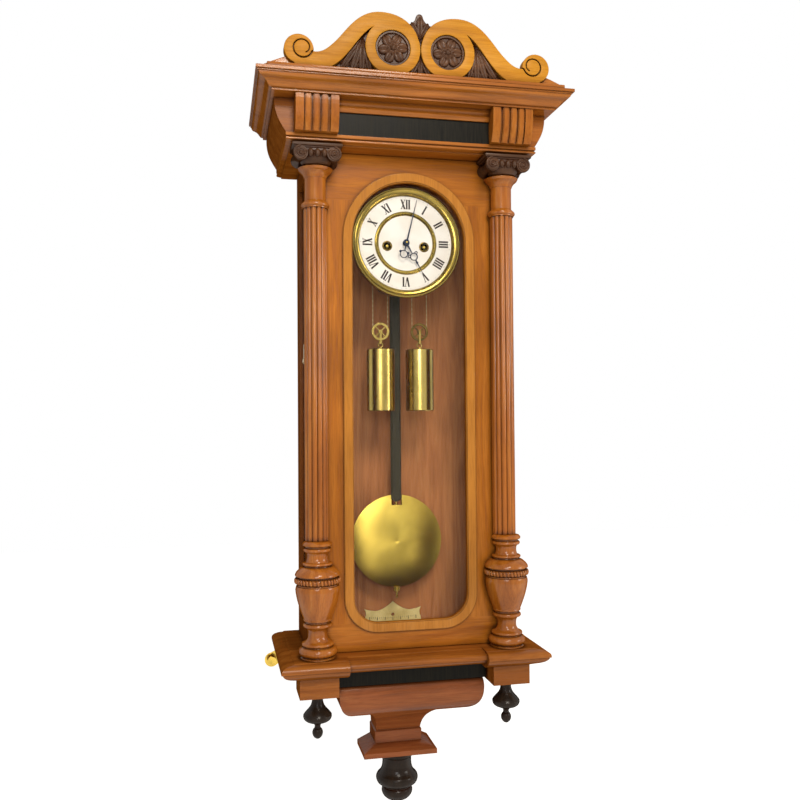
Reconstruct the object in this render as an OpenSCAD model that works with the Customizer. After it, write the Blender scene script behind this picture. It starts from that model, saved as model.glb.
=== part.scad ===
// Two-weight regulator wall clock: a glazed case with a columned door, a carved crest,
// an eight-day striking movement, a seconds-beating pendulum and two brass weights.
// The origin is the centre of the hole that the clock hangs by, on the wall plane.
// X runs to the viewer's right, Y into the wall and Z up.

/* [Case] */
// Outside width of the case box
case_w = 330; // [300:1:360]
// Depth of the case box behind the door
case_d = 145; // [140:1:170]
// Height of the case box from the base shelf to the head board
case_h = 790; // [770:1:840]
// Thickness of the back board
back_t = 12; // [9:0.5:14]
// Thickness of the side frames
side_t = 15; // [12:0.5:18]
// Width of the stiles and rails of the side frames
side_stile = 27; // [20:1:34]
// Thickness of the side panes
pane_t = 2; // [1.5:0.1:3]
// Diameter of the hole in the hanging plate
hook_hole_d = 9; // [7:0.5:11]
// Thickness of the hanging plate
hanger_t = 2; // [1.5:0.1:3]
// Height from the hanging hole to the top of the cornice
hook_drop = 41; // [36:1:60]

/* [Door] */
// Thickness of the door frame
door_t = 18; // [16:0.5:22]
// Clear width of the glazed opening
opening_w = 186; // [180:1:200]
// Radius of the lower corners of the opening
opening_corner_r = 40; // [20:1:60]
// Depth of the opening below the dial centre
opening_drop = 611; // [580:1:630]
// Width of the bead round the opening
bead_w = 15.5; // [8:0.5:17]
// How far the bead stands proud of the door
bead_proud = 4; // [2:0.5:5]
// Thickness of the door glass
door_glass_t = 3; // [2:0.5:4]
// Height of one door hinge
hinge_h = 54; // [40:1:70]

/* [Columns] */
// Distance of each column's axis from the case edge
column_inset = 12; // [8:1:20]
// How far the column axes stand in front of the door face
column_forward = 10.5; // [6:0.5:14]
// Radius of the reeded shaft over its reeds
shaft_r = 18.5; // [15:0.5:21]
// Number of reeds round a whole shaft
reed_count = 12; // [10:1:16]
// Height of the turned urn under each shaft
urn_h = 178; // [165:1:195]
// Widest radius of the urn
urn_r = 36; // [30:0.5:40]
// Height of the plain neck with its bell
neck_h = 54; // [48:1:60]
// Height of the capital
capital_h = 30; // [26:1:34]
// Width of the capital
capital_w = 76; // [66:1:84]

/* [Head] */
// Width of the cornice
cornice_w = 496; // [470:1:540]
// Depth of the cornice from the wall
cornice_d = 259; // [250:1:280]
// Height of the cornice
cornice_h = 27; // [22:1:34]
// Height of the frieze
frieze_h = 53; // [48:1:64]
// Height of the architrave moulding
architrave_h = 14; // [12:1:20]
// Width of one reeded console
console_w = 66; // [56:1:72]
// Height of the ebonised panel
panel_h = 35; // [28:1:40]

/* [Crest] */
// Thickness of the crest board
crest_t = 14; // [10:1:18]
// Outer radius of the two rings
ring_r = 42.5; // [38:0.5:46]
// Radius of the rosettes
rosette_r = 26.5; // [22:0.5:30]
// Radius of the outer volutes
volute_r = 22; // [18:0.5:24]

/* [Base] */
// Width of the base shelf
shelf_w = 424; // [410:1:450]
// Depth of the base shelf at its corners
shelf_d = 226; // [220:1:240]
// Thickness of the base shelf
shelf_h = 27; // [22:1:32]
// How far the corners of the shelf break forward
shelf_break = 10; // [6:1:16]
// Side of the square corner blocks
block_side = 60; // [52:1:64]
// Height of the corner blocks
block_h = 30; // [26:1:40]
// Height of the ebonised band
band_h = 24.5; // [18:0.5:28]
// Space between the ebonised band and each corner block
band_end_gap = 3; // [1:0.5:10]
// Height of the apron down to its plinth
apron_h = 136; // [120:1:160]
// Height of the plinth
plinth_h = 17.5; // [14:0.5:24]
// Height of the bottom finial
finial_h = 87; // [70:1:100]
// Height of each pendant
pendant_h = 70; // [55:1:80]

/* [Dial] */
// Outer radius of the bezel
bezel_r = 91; // [86:0.5:92]
// Radius of the white chapter ring
chapter_r = 77.5; // [74:0.5:80]
// Outer radius of the brass ring inside the chapter ring
dial_ring_r = 52; // [48:0.5:56]
// Width of that ring
dial_ring_w = 6.5; // [4:0.5:8]
// Depth of the dial centre below the head board
dial_drop = 135; // [130:1:150]
// Angle of the minute hand from twelve
minute_angle = 14; // [0:1:359]
// Angle of the hour hand from twelve
hour_angle = 151; // [0:1:359]

/* [Movement] */
// Thickness of the movement plates
plate_t = 2.5; // [2:0.1:3]
// Clear space between the plates
plate_gap = 37.5; // [37:0.5:42]
// Distance from the door side of the case to the rear face of the back plate
plate_from_door = 75.5; // [74:0.5:80]
// Depth of the plates' lower edge below the dial centre
plates_below = 42; // [40:1:46]
// Height of the plates' upper edge above the dial centre
plates_above = 62; // [60:1:66]
// Height of the anchor's arbor above the dial centre
anchor_rise = 47.7; // [47.5:0.1:48]
// Teeth on each great wheel
great_teeth = 144; // [144:1:144]
// Teeth on the centre pinion
centre_pinion_teeth = 12; // [12:1:12]
// Distance of each winding arbor from the middle
winding_x = 31; // [30:0.5:33]
// How far the winding arbors lie below the dial centre
winding_drop = 5.5; // [3:0.5:8]
// Radius at which the line winds on a barrel
barrel_r = 15.6; // [14:0.1:16]
// Diameter of the gut line
line_d = 1.2; // [1:0.1:1.6]

/* [Pendulum and weights] */
// Distance from the back plate to the middle of the pendulum
pendulum_behind = 21.5; // [20:0.5:24]
// Length from the suspension to the middle of the bob
pendulum_l = 547; // [500:1:560]
// Radius of the bob
bob_r = 80; // [65:1:84]
// Thickness of the bob
bob_t = 24; // [16:1:24]
// Width of the pendulum rod
rod_w = 18; // [14:0.5:24]
// Thickness of the pendulum rod
rod_t = 10; // [7:0.5:11]
// Radius of each weight
weight_r = 23.5; // [20:0.5:26]
// Height of each weight
weight_h = 104; // [80:1:120]
// Depth of the weight tops below the dial centre
weight_drop = 171; // [165:1:220]
// Radius of the pulleys
pulley_r = 15; // [14:0.5:17]
// Radius at which the line runs on a pulley
sheave_r = 12.8; // [12:0.1:13]

/* [Hidden] */

// Smoothness of turned work and of small round pieces
$fn = 96;
small_fn = 48;
// A length past every piece, for cutting tools
far = 1200;
// Clearance between pieces that only pass each other
gap = 0.5;
// Clearance between pieces that seat on each other
seat = 0.2;
// Radial clearance of a running fit
run = 0.05;

cornice_top = hook_drop;
cornice_low = cornice_top - cornice_h;
frieze_low = cornice_low - frieze_h;
head_z = frieze_low - architrave_h;
dial_z = head_z - dial_drop;
shelf_top = head_z - case_h;
shelf_low = shelf_top - shelf_h;
band_low = shelf_low - band_h;
block_low = shelf_low - block_h;
plinth_top = band_low - apron_h;
plinth_low = plinth_top - plinth_h;

half_w = case_w / 2;
side_in = half_w - side_t;
door_back = -case_d - gap;
door_face = door_back - door_t;
column_x = half_w - column_inset;
column_y = door_face - column_forward;
opening_r = opening_w / 2;
urn_top = shelf_top + gap + urn_h;
neck_top = head_z - gap - capital_h;
neck_low = neck_top - neck_h;
block_x = half_w - column_inset;
block_front = column_y - block_side / 2;
block_half = block_side / 2;
finial_y = -38;

band_half = block_x - block_half - band_end_gap;
apron_half = band_half - 2;
plate_back = case_d - plate_from_door;
pendulum_y = plate_back - pendulum_behind;
back_plate_y = -plate_back;
front_plate_y = back_plate_y - plate_t - plate_gap;
line_y = back_plate_y - plate_t - 17.5;
winding_z = dial_z - winding_drop;
centre_reach = norm([winding_x, winding_drop]);
great_m = 2 * centre_reach / (great_teeth + centre_pinion_teeth);
weight_top = dial_z - weight_drop;
pulley_z = weight_top + 30;
weight_x = winding_x + barrel_r - sheave_r;
post_z = dial_z - 37.5;
post_x = weight_x - sheave_r;
plate_half_w = 64;
plate_low = dial_z - plates_below;
plate_high = dial_z + plates_above;
dial_back = front_plate_y - plate_t - 24;
anchor_z = dial_z + anchor_rise;
bob_z = anchor_z - pendulum_l;
hinge_x = half_w + 3.2;
hinge_y = -case_d - gap / 2;
hinge_z = [shelf_top + 110, head_z - 150];

honey = "#c9843a";
pale = "#e0a244";
brown = "#8a5130";
dark = "#4a3023";
ebony = "#23231f";
brass = "#d8b24a";
steel = "#8d9196";
enamel = "#f4f0ea";

// Points on an arc, from angle a to angle b
function arc(c, r, a, b, n = 10) = [
    for (i = [0:n]) let (t = a + (b - a) * i / n) [c[0] + r * cos(t), c[1] + r * sin(t)]
];
// Points on a cubic curve, without its last point
function bend(p, q, r, s, n = 12) = [
    for (i = [0:n - 1]) let (t = i / n, u = 1 - t)
        u * u * u * p + 3 * u * u * t * q + 3 * u * t * t * r + t * t * t * s
];
function backwards(v) = [for (i = [len(v) - 1:-1:0]) v[i]];
function flip_x(v) = [for (p = v) [-p[0], p[1]]];

// A moulding of constant section round the front and both sides, mitred at the corners.
// edge lists [outward offset, height] from the top down; depth_share scales the front offset.
module moulding(half, depth, edge, depth_share = 1) {
    right = [for (p = edge) [half + p[0], p[1]]];
    front = [for (p = edge) [-(depth + p[0] * depth_share), p[1]]];
    intersection() {
        rotate([90, 0, 0])
            linear_extrude(height = far)
                polygon(concat(right, backwards(flip_x(right))));
        rotate([90, 0, 90])
            translate([0, 0, -far / 2])
                linear_extrude(height = far)
                    polygon(concat(front, [[0, edge[len(edge) - 1][1]], [0, edge[0][1]]]));
    }
}

// A flat shape in the X and Z plane, from y towards the viewer
module upright(y, thick) {
    translate([0, y, 0])
        rotate([90, 0, 0])
            linear_extrude(height = thick)
                children();
}

// A solid of revolution about an upright axis
module turned(profile) {
    rotate_extrude()
        polygon(profile);
}

// A round bar along Y, from y towards the viewer
module rod_y(x, z, y, thick, r, fn = small_fn) {
    translate([x, y, z])
        rotate([90, 0, 0])
            cylinder(r = r, h = thick, $fn = fn);
}

module both_sides() {
    children();
    mirror([1, 0, 0])
        children();
}

// The case

module back_board() {
    pocket_r = hook_hole_d / 2 + 4;
    color(brown)
    difference() {
        translate([-half_w, -back_t, shelf_top])
            cube([case_w, back_t, cornice_low - shelf_top]);
        rod_y(0, 0, 1, hanger_t + 1 + seat, hanger_r() + seat);
        rod_y(0, 0, 1, back_t - 1.5, pocket_r);
    }
}

function hanger_r() = hook_hole_d / 2 + 8.5;

module hanger_plate() {
    color(brass)
    difference() {
        rod_y(0, 0, 0, hanger_t, hanger_r());
        rod_y(0, 0, 1, hanger_t + 2, hook_hole_d / 2);
    }
}

window_back = -back_t - side_stile;
window_front = -case_d + side_stile;
window_low = shelf_top + side_stile + 6;
window_high = head_z - side_stile - 6;
pane_lap = 5;

module side_frame() {
    groove = pane_t + 2 * seat;
    difference() {
        translate([side_in, -case_d, shelf_top])
            cube([side_t, case_d - back_t, case_h]);
        translate([side_in - 1, window_front, window_low])
            cube([side_t + 2, window_back - window_front, window_high - window_low]);
        translate([half_w - side_t / 2 - groove / 2, window_front - pane_lap, window_low - pane_lap])
            cube([groove, window_back - window_front + 2 * pane_lap,
                window_high - window_low + 2 * pane_lap]);
    }
}

module side_frames() {
    color(honey)
    both_sides()
        side_frame();
}

module side_glasses() {
    lap = pane_lap - seat;
    color("#cfe0dc", 0.35)
    both_sides()
        translate([half_w - side_t / 2 - pane_t / 2, window_front - lap, window_low - lap])
            cube([pane_t, window_back - window_front + 2 * lap, window_high - window_low + 2 * lap]);
}

architrave_half = 192.5;
architrave_front = cornice_d - 62;

module head_board() {
    h = architrave_h;
    top_z = frieze_low;
    edge = concat(
        [[8.5, top_z], [8.5, top_z - 0.25 * h]],
        arc([6.5, top_z - 0.25 * h], 2, 0, -90, 4),
        [[6.5, top_z - 0.45 * h]],
        arc([6, top_z - 0.62 * h], 2.4, 90, -60, 6),
        [[0, top_z - 0.86 * h], [0, head_z]]
    );
    color(honey)
    difference() {
        moulding(architrave_half, architrave_front, edge, 1.4);
        translate([-half_w - seat, -back_t - seat, head_z - 1])
            cube([case_w + 2 * seat, back_t + 1, h + 2]);
    }
}

frieze_front = cornice_d - 54;
frieze_half_top = 218;
frieze_half_low = 200;

module frieze_box() {
    top_z = cornice_low;
    side = bend([frieze_half_top, top_z], [frieze_half_top + 1, top_z - 0.5 * frieze_h],
        [frieze_half_low + 8, frieze_low + 0.25 * frieze_h], [frieze_half_low, frieze_low], 14);
    right = concat(side, [[frieze_half_low, frieze_low]]);
    color(honey)
    difference() {
        upright(0, frieze_front)
            polygon(concat(right, backwards(flip_x(right))));
        translate([-half_w - seat, -frieze_front + side_t, frieze_low - 1])
            cube([case_w + 2 * seat, frieze_front, frieze_h + 2]);
    }
}

panel_t = 3;

module frieze_panel() {
    color(ebony)
    translate([-console_x(), -frieze_front - panel_t, frieze_low])
        cube([2 * console_x(), panel_t, panel_h]);
}

// Inner edge of the front consoles, centred over the columns
function console_x() = column_x - console_w / 2 + 2;

console_top_proud = 28;
console_low_proud = 16;

// One slab of a console: its curved side outline, drawn back by an amount, over a width
module console_slab(from, to, back) {
    z1 = cornice_low;
    z0 = frieze_low;
    outline = concat(
        [[0, z0], [0, z1], [-console_top_proud + back, z1]],
        bend([-console_top_proud + back, z1], [-console_top_proud - 1 + back, z1 - 0.6 * frieze_h],
            [-console_low_proud - 6 + back, z0 + 0.2 * frieze_h], [-console_low_proud + back, z0], 12),
        [[-console_low_proud + back, z0]]
    );
    rotate([90, 0, 90])
        translate([0, 0, from])
            linear_extrude(height = to - from)
                polygon(outline);
}

// Flat borders with three reeds between grooves
module console(w) {
    border = 0.19 * w;
    reed = (w - 2 * border) / 4.2;
    groove = 0.3 * reed;
    console_slab(0, border, 0);
    console_slab(w - border, w, 0);
    console_slab(border, w - border, 4);
    for (i = [0:2]) {
        at = border + groove + i * (reed + groove) + 0.15 * reed;
        console_slab(at, at + reed, 1.2);
        console_slab(at + 0.15 * reed, at + 0.85 * reed, 0.4);
    }
}

module frieze_consoles() {
    color(honey)
    both_sides()
        translate([console_x(), -frieze_front, 0])
            console(console_w);
}

module cornice() {
    top_z = cornice_top;
    low_z = cornice_low;
    h = cornice_h;
    strip_h = frieze_h - panel_h;
    edge = concat(
        [[24, top_z], [24, top_z - 0.17 * h], [21.5, top_z - 0.17 * h], [21.5, top_z - 0.26 * h]],
        bend([20, top_z - 0.26 * h], [19, top_z - 0.55 * h], [13, top_z - 0.42 * h],
            [8, top_z - 0.66 * h], 8),
        bend([8, top_z - 0.66 * h], [5, top_z - 0.82 * h], [4, top_z - 0.86 * h],
            [2.5, top_z - 0.88 * h], 5),
        [[0, top_z - 0.88 * h], [0, low_z]]
    );
    strip = [
        [-frieze_front, low_z], [-frieze_front - 10, low_z], [-frieze_front - 10, low_z - 0.3 * strip_h],
        [-frieze_front - 7, low_z - 0.45 * strip_h], [-frieze_front - 9, low_z - 0.7 * strip_h],
        [-frieze_front - 6, low_z - strip_h], [-frieze_front, low_z - strip_h]
    ];
    color(honey) {
        moulding(cornice_w / 2 - 24, cornice_d - 24, edge);
        rotate([90, 0, 90])
            translate([0, 0, -console_x()])
                linear_extrude(height = 2 * console_x())
                    polygon(strip);
    }
}

// The crest

crest_front = -cornice_d + 5;
ring_x = ring_r + seat;
volute_x = 185;
volute_z = 29.5;
band_top = ring_r * 2 + 11;

// The outline of one scroll: over the band, round the volute, back under and round the ring
module scroll_outline() {
    polygon(concat(
        bend([4.3, 62], [12, 82], [30, band_top], [60, band_top], 14),
        bend([60, band_top], [97, band_top], [114, 62], [131, 45], 14),
        bend([131, 45], [142, 34], [150, 26.5], [163, 27], 8),
        arc([volute_x, volute_z], volute_r, 186, -70, 30),
        [[188, 0]],
        bend([150, 0], [122, 10], [108, 36], [94, 53], 10),
        bend([94, 53], [86, 63], [80, 68], [73.5, 72.5], 6),
        arc([ring_x, ring_r], ring_r, 43, -206, 40)
    ));
}

// The carved line that winds into a volute
module volute_line() {
    turns = 1.15;
    steps = 30;
    outer = [for (i = [0:steps]) let (t = i / steps, a = 190 + 360 * turns * t,
        r = volute_r * (0.92 - 0.5 * t)) [volute_x + r * cos(a), volute_z + r * sin(a)]];
    inner = [for (i = [steps:-1:0]) let (t = i / steps, a = 190 + 360 * turns * t,
        r = volute_r * (0.92 - 0.5 * t) - 1.6) [volute_x + r * cos(a), volute_z + r * sin(a)]];
    polygon(concat(outer, inner));
}

module crest_scrolls() {
    groove = 2;
    color(pale)
    translate([0, 0, cornice_top])
        difference() {
            upright(crest_front + crest_t, crest_t)
                both_sides_flat()
                    difference() {
                        scroll_outline();
                        translate([ring_x, ring_r])
                            circle(r = rosette_r + seat);
                    }
            upright(crest_front + groove, groove + 1)
                both_sides_flat()
                    volute_line();
        }
}

module both_sides_flat() {
    children();
    mirror([1, 0])
        children();
}

// The fan of leaves that fills the gaps, a little behind the scrolls
module crest_carving() {
    inset = 4;
    leaf_t = 3;
    wing = concat([[64, 0], [64, 70]], bend([80, 68], [92, 58], [106, 40], [124, 16], 8), [[152, 0]]);
    foot = concat([[150, 0], [180, 8]], bend([196, 24], [210, 22], [226, 12], [236, 0], 8), [[236, 0]]);
    fan = concat([[-12, 62]], bend([-15, 80], [-10, 90], [-4, 90], [0, 101], 8),
        bend([0, 101], [4, 90], [10, 90], [15, 80], 8), [[12, 62]]);
    color(dark)
    translate([0, 0, cornice_top]) {
        upright(crest_front + crest_t + 8, 8 - seat)
            both_sides_flat() {
                polygon(wing);
                polygon(foot);
                polygon([[0, 0], [30, 0], [20, 40], [14, 62], [0, 96]]);
            }
        upright(crest_front + crest_t, crest_t - inset)
            difference() {
                union() {
                    polygon(fan);
                    polygon([[-ring_r, 0], [ring_r, 0], [0, ring_r]]);
                    both_sides_flat()
                        for (i = [0:3])
                            polygon(leaf([86 + 13 * i, 0], [83 + 7.5 * i, 58 - 13.5 * i], 4.6));
                    both_sides_flat()
                        polygon([[206, 0], [209, 15], [222, 11], [234, 0]]);
                }
                both_sides_flat()
                    offset(delta = seat)
                        scroll_outline();
            }
    }
}

// A pointed leaf from a to b with a half width
function leaf(a, b, w) =
    let (d = b - a, n = [-d[1], d[0]] * w / norm(d))
    concat(bend(a, a + 0.3 * d + n, a + 0.7 * d + n, b, 6), bend(b, a + 0.7 * d - n, a + 0.3 * d - n, a, 6));

module crest_rosettes() {
    petals = 8;
    base_t = crest_t - 4;
    petal_t = 3.5;
    color(dark)
    for (s = [-1, 1])
        translate([s * ring_x, 0, cornice_top + ring_r]) {
            rod_y(0, 0, crest_front + crest_t, base_t, rosette_r);
            difference() {
                rod_y(0, 0, crest_front + 4, 4, rosette_r);
                rod_y(0, 0, crest_front + 5, 7, rosette_r - 2.5);
            }
            for (i = [0:petals - 1])
                rotate([0, 360 * i / petals, 0])
                    upright(crest_front + 4, petal_t)
                        polygon(leaf([0, 4], [0, rosette_r - 3.5], 6.2));
            rod_y(0, 0, crest_front + 4, petal_t + 2, 5.5);
        }
}

// The base

// The edge of the shelf: a quarter round over a fillet, then a cavetto
function shelf_edge(over, h) = concat(
    [[over - 21, shelf_top], [over - 19, shelf_top - 1.2]],
    bend([over - 19, shelf_top - 1.2], [over - 8, shelf_top - 1.6], [over - 1, shelf_top - 4],
        [over, shelf_top - 0.33 * h], 8),
    [[over, shelf_top - 0.33 * h], [over, shelf_top - 0.46 * h], [over - 2.5, shelf_top - 0.46 * h]],
    bend([over - 2.5, shelf_top - 0.52 * h], [over - 6, shelf_top - 0.8 * h],
        [over * 0.4, shelf_top - 0.86 * h], [0, shelf_top - h], 7),
    [[0, shelf_low]]
);

module base_shelf() {
    over = shelf_w / 2 - block_x - block_half;
    front_over = shelf_d + block_front;
    break_x = block_x - block_half - 14;
    color(honey)
    union() {
        intersection() {
            moulding(shelf_w / 2 - over, -block_front, shelf_edge(over, shelf_h), front_over / over);
            both_sides()
                translate([break_x, -far, shelf_low - 1])
                    cube([far, far, shelf_h + 2]);
        }
        intersection() {
            moulding(far, -block_front - shelf_break - 16, shelf_edge(over, shelf_h),
                (front_over + 16) / over);
            translate([-break_x, -far, shelf_low - 1])
                cube([2 * break_x, far, shelf_h + 2]);
        }
    }
}

module corner_blocks() {
    color(honey)
    both_sides()
        translate([block_x - block_half, block_front, block_low])
            cube([block_side, block_side, block_h]);
}

module base_band() {
    color(ebony)
    translate([-band_half, -band_depth, band_low])
        cube([2 * band_half, band_depth, band_h]);
}

band_depth = 172;

module corner_pendants() {
    h = pendant_h;
    z = block_low;
    profile = concat(
        [[0, z], [10, z], [10.5, z - 0.03 * h], [9, z - 0.06 * h]],
        bend([8.5, z - 0.1 * h], [8, z - 0.3 * h], [17, z - 0.34 * h], [22, z - 0.46 * h], 8),
        bend([22, z - 0.46 * h], [23, z - 0.54 * h], [20, z - 0.6 * h], [9, z - 0.63 * h], 6),
        bend([9, z - 0.63 * h], [4, z - 0.66 * h], [4, z - 0.72 * h], [5, z - 0.75 * h], 4),
        bend([5, z - 0.75 * h], [10, z - 0.8 * h], [10, z - 0.96 * h], [0, z - h], 8)
    );
    both_sides()
        translate([column_x, column_y, 0])
            turned(concat(profile, [[0, z - h]]));
}

// Offsets are from the neck of the apron, for the sides; the front has its own share
module apron() {
    neck_half = 41;
    neck_depth = 50;
    reach = apron_half - neck_half;
    front_reach = band_depth - 2 - neck_depth;
    h = apron_h;
    z = band_low;
    edge = concat(
        [[reach, z]],
        bend([reach, z], [reach, z - 0.26 * h], [0.8 * reach, z - 0.45 * h],
            [0.52 * reach, z - 0.5 * h], 12),
        [[0.52 * reach, z - 0.5 * h], [0.49 * reach, z - 0.52 * h]],
        bend([0.49 * reach, z - 0.52 * h], [0.2 * reach, z - 0.58 * h], [0.04 * reach, z - 0.64 * h],
            [0.02 * reach, z - 0.8 * h], 10),
        [[0.02 * reach, z - 0.8 * h], [0.06 * reach, z - 0.84 * h], [0, z - 0.87 * h],
            [0.02 * reach, plinth_top]]
    );
    plinth_over = 22;
    plinth_edge = [
        [1.5, plinth_top], [plinth_over, plinth_top - 0.55 * plinth_h],
        [plinth_over, plinth_low]
    ];
    color(brown)
        moulding(neck_half, neck_depth, edge, front_reach / reach);
    color(honey)
        moulding(neck_half, neck_depth, plinth_edge, 25 / plinth_over);
}

module apron_finial() {
    h = finial_h;
    z = plinth_low;
    profile = concat(
        [[0, z], [28, z], [29, z - 0.05 * h], [28, z - 0.1 * h], [25.5, z - 0.13 * h]],
        bend([25, z - 0.16 * h], [24, z - 0.36 * h], [29, z - 0.42 * h], [34, z - 0.47 * h], 7),
        bend([34, z - 0.47 * h], [37.5, z - 0.52 * h], [37, z - 0.6 * h], [31, z - 0.66 * h], 7),
        [[26, z - 0.69 * h], [23, z - 0.7 * h], [23, z - 0.72 * h]],
        bend([23, z - 0.72 * h], [31, z - 0.76 * h], [27, z - 0.99 * h], [0, z - h], 12),
        [[0, z - h]]
    );
    translate([0, finial_y, 0])
        turned(profile);
}

module drop_finials() {
    color(dark) {
        apron_finial();
        corner_pendants();
    }
}

// Brass ears with a pointed screw each, that hold the case steady on the wall
module wall_steadies() {
    ear_t = 2;
    ear_x = half_w + 47;
    ear_z = shelf_low - 21;
    both_sides() {
        translate([0, -0.4, 0])
            upright(0, ear_t)
                difference() {
                    union() {
                        translate([ear_x, ear_z])
                            circle(r = 12, $fn = small_fn);
                        polygon([[half_w - 8, shelf_low - seat / 2], [half_w + 30, shelf_low - seat / 2],
                            [ear_x + 6, ear_z + 10], [ear_x - 6, ear_z - 10]]);
                    }
                    translate([ear_x, ear_z])
                        circle(r = 2.6, $fn = small_fn);
                }
        rod_y(ear_x, ear_z, 0, 12, 2.5);
        rod_y(ear_x, ear_z, -12, 4, 8);
    }
}

// The door

module opening_outline(grow = 0) {
    r = opening_r + grow;
    corner = opening_corner_r + grow;
    low = dial_z - opening_drop - grow;
    translate([0, dial_z])
        circle(r = r);
    translate([-r, low + corner])
        square([2 * r, dial_z - low - corner]);
    translate([-r + corner, low])
        square([2 * (r - corner), corner + 1]);
    for (s = [-1, 1])
        translate([s * (r - corner), low + corner])
            circle(r = corner);
}

rebate = 6;
glass_back = door_back - 8.5;

module door_frame() {
    low = shelf_top + gap;
    high = head_z - gap;
    color(honey)
    difference() {
        translate([-half_w, door_face, low])
            cube([case_w, door_t, high - low]);
        upright(door_back + 1, door_t + 2)
            opening_outline();
        upright(door_back + 1, 1 + door_back - glass_back + door_glass_t + seat)
            opening_outline(rebate);
    }
}

module opening_bead() {
    color(pale)
    difference() {
        union() {
            upright(door_face, bead_proud)
                opening_outline(bead_w - 1);
            upright(door_face, bead_proud - 1)
                opening_outline(bead_w);
        }
        upright(door_face + 1, bead_proud + 2)
            opening_outline();
        upright(door_face - bead_proud + 1.2, 2)
            opening_outline(1.5);
    }
}

module door_glass() {
    color("#dfe9e6", 0.25)
    upright(glass_back, door_glass_t)
        opening_outline(rebate - seat);
}

// Keeps what lies in front of the door face, for turnings planted on it
module planted() {
    intersection() {
        children();
        translate([-far / 2, -far + door_face, -far])
            cube([far, far, 2 * far]);
    }
}

module column_shafts() {
    reed_r = shaft_r * sin(180 / reed_count) / (1 + sin(180 / reed_count)) * 1.12;
    ring_h = 10;
    neck_r = 16.7;
    low = urn_top;
    top = neck_top;
    bell = concat(
        [[0, neck_low - ring_h], [shaft_r + 1.5, neck_low - ring_h]],
        arc([shaft_r + 0.5, neck_low - ring_h / 2], ring_h / 2 - 1.5, -70, 70, 6),
        [[shaft_r + 0.5, neck_low], [neck_r, neck_low + 2]],
        [[neck_r, top - 17]],
        bend([neck_r + 1, top - 16], [neck_r + 3, top - 9], [neck_r + 7, top - 7], [neck_r + 11, top - 4], 6),
        [[neck_r + 11, top - 2], [neck_r + 8, top], [0, top]]
    );
    color(honey)
    both_sides()
        planted()
            translate([column_x, column_y, 0]) {
                translate([0, 0, low])
                    linear_extrude(height = neck_low - ring_h - low) {
                        circle(r = shaft_r - reed_r);
                        for (i = [0:reed_count - 1])
                            rotate((i + 0.5) * 360 / reed_count)
                                translate([shaft_r - reed_r, 0])
                                    circle(r = reed_r, $fn = 32);
                    }
                turned(bell);
            }
}

module column_urns() {
    h = urn_h;
    z = shelf_top + gap;
    r = urn_r;
    bead_z = z + 0.652 * h;
    profile = concat(
        [[0, z], [0.72 * r, z], [0.74 * r, z + 0.015 * h]],
        arc([0.65 * r, z + 0.065 * h], 0.17 * r, -70, 80, 8),
        [[0.65 * r, z + 0.112 * h], [0.62 * r, z + 0.13 * h]],
        bend([0.56 * r, z + 0.15 * h], [0.33 * r, z + 0.18 * h], [0.33 * r, z + 0.25 * h],
            [0.52 * r, z + 0.27 * h], 8),
        [[0.6 * r, z + 0.282 * h], [0.63 * r, z + 0.298 * h], [0.61 * r, z + 0.315 * h],
            [0.53 * r, z + 0.325 * h]],
        bend([0.53 * r, z + 0.335 * h], [0.62 * r, z + 0.45 * h], [0.86 * r, z + 0.52 * h],
            [0.92 * r, bead_z - 0.022 * h], 12),
        [[0.95 * r, bead_z - 0.02 * h]],
        arc([0.93 * r, bead_z], 0.055 * r, -80, 80, 6),
        [[0.93 * r, bead_z + 0.02 * h], [r, bead_z + 0.028 * h], [r, bead_z + 0.042 * h]],
        bend([0.98 * r, bead_z + 0.05 * h], [0.8 * r, bead_z + 0.09 * h], [0.6 * r, bead_z + 0.11 * h],
            [0.52 * r, bead_z + 0.145 * h], 9),
        [[0.51 * r, bead_z + 0.165 * h], [0.42 * r, bead_z + 0.175 * h]],
        bend([0.4 * r, bead_z + 0.185 * h], [0.33 * r, bead_z + 0.21 * h], [0.36 * r, bead_z + 0.25 * h],
            [0.5 * r, bead_z + 0.28 * h], 8),
        [[0.58 * r, bead_z + 0.293 * h]],
        arc([0.56 * r, bead_z + 0.312 * h], 0.075 * r, -70, 80, 6),
        [[0.56 * r, z + h], [0, z + h]]
    );
    color(honey)
    both_sides()
        planted()
            translate([column_x, column_y, 0])
                turned(profile);
}

module column_capitals() {
    low = neck_top;
    top = head_z - 2 * gap;
    volute = 12.2;
    spread = capital_w / 2 - volute;
    front = column_y - 39;
    depth = door_face - front;
    vz = low + volute + 1;
    color(dark)
    both_sides()
        planted()
            translate([column_x, 0, 0]) {
                translate([-capital_w / 2 - 1, front - 1.5, top - 5])
                    cube([capital_w + 2, depth + 1.5, 5]);
                translate([-spread, front + 2, vz - 2])
                    cube([2 * spread, depth - 2, top - 5 - vz + 2]);
                translate([0, column_y, low])
                    turned([[0, 0], [19, 0], [25, 6], [28, vz - low + 1], [0, vz - low + 1]]);
                for (s = [-1, 1])
                    difference() {
                        union() {
                            rod_y(s * spread, vz, door_face, depth, volute - 1.5);
                            rod_y(s * spread, vz, front + 5, 5, volute);
                        }
                        rod_y(s * spread, vz, front + 1.5, 3, volute - 2);
                        rod_y(s * spread, vz, door_face - 12, depth - 22, volute + 1);
                    }
                for (s = [-1, 1]) {
                    rod_y(s * spread, vz, front + 4, 4, volute - 5);
                    rod_y(s * spread, vz, door_face - 1, depth - 8, volute - 3);
                }
                for (i = [-1:1])
                    translate([i * 10, front + 3.5, vz + 1])
                        sphere(r = 4.4, $fn = small_fn);
            }
}

// Butt hinges on the right edge, each with its pin
knuckle_r = 3;
pin_r = 1.6;
leaf_t = 1.2;

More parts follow.
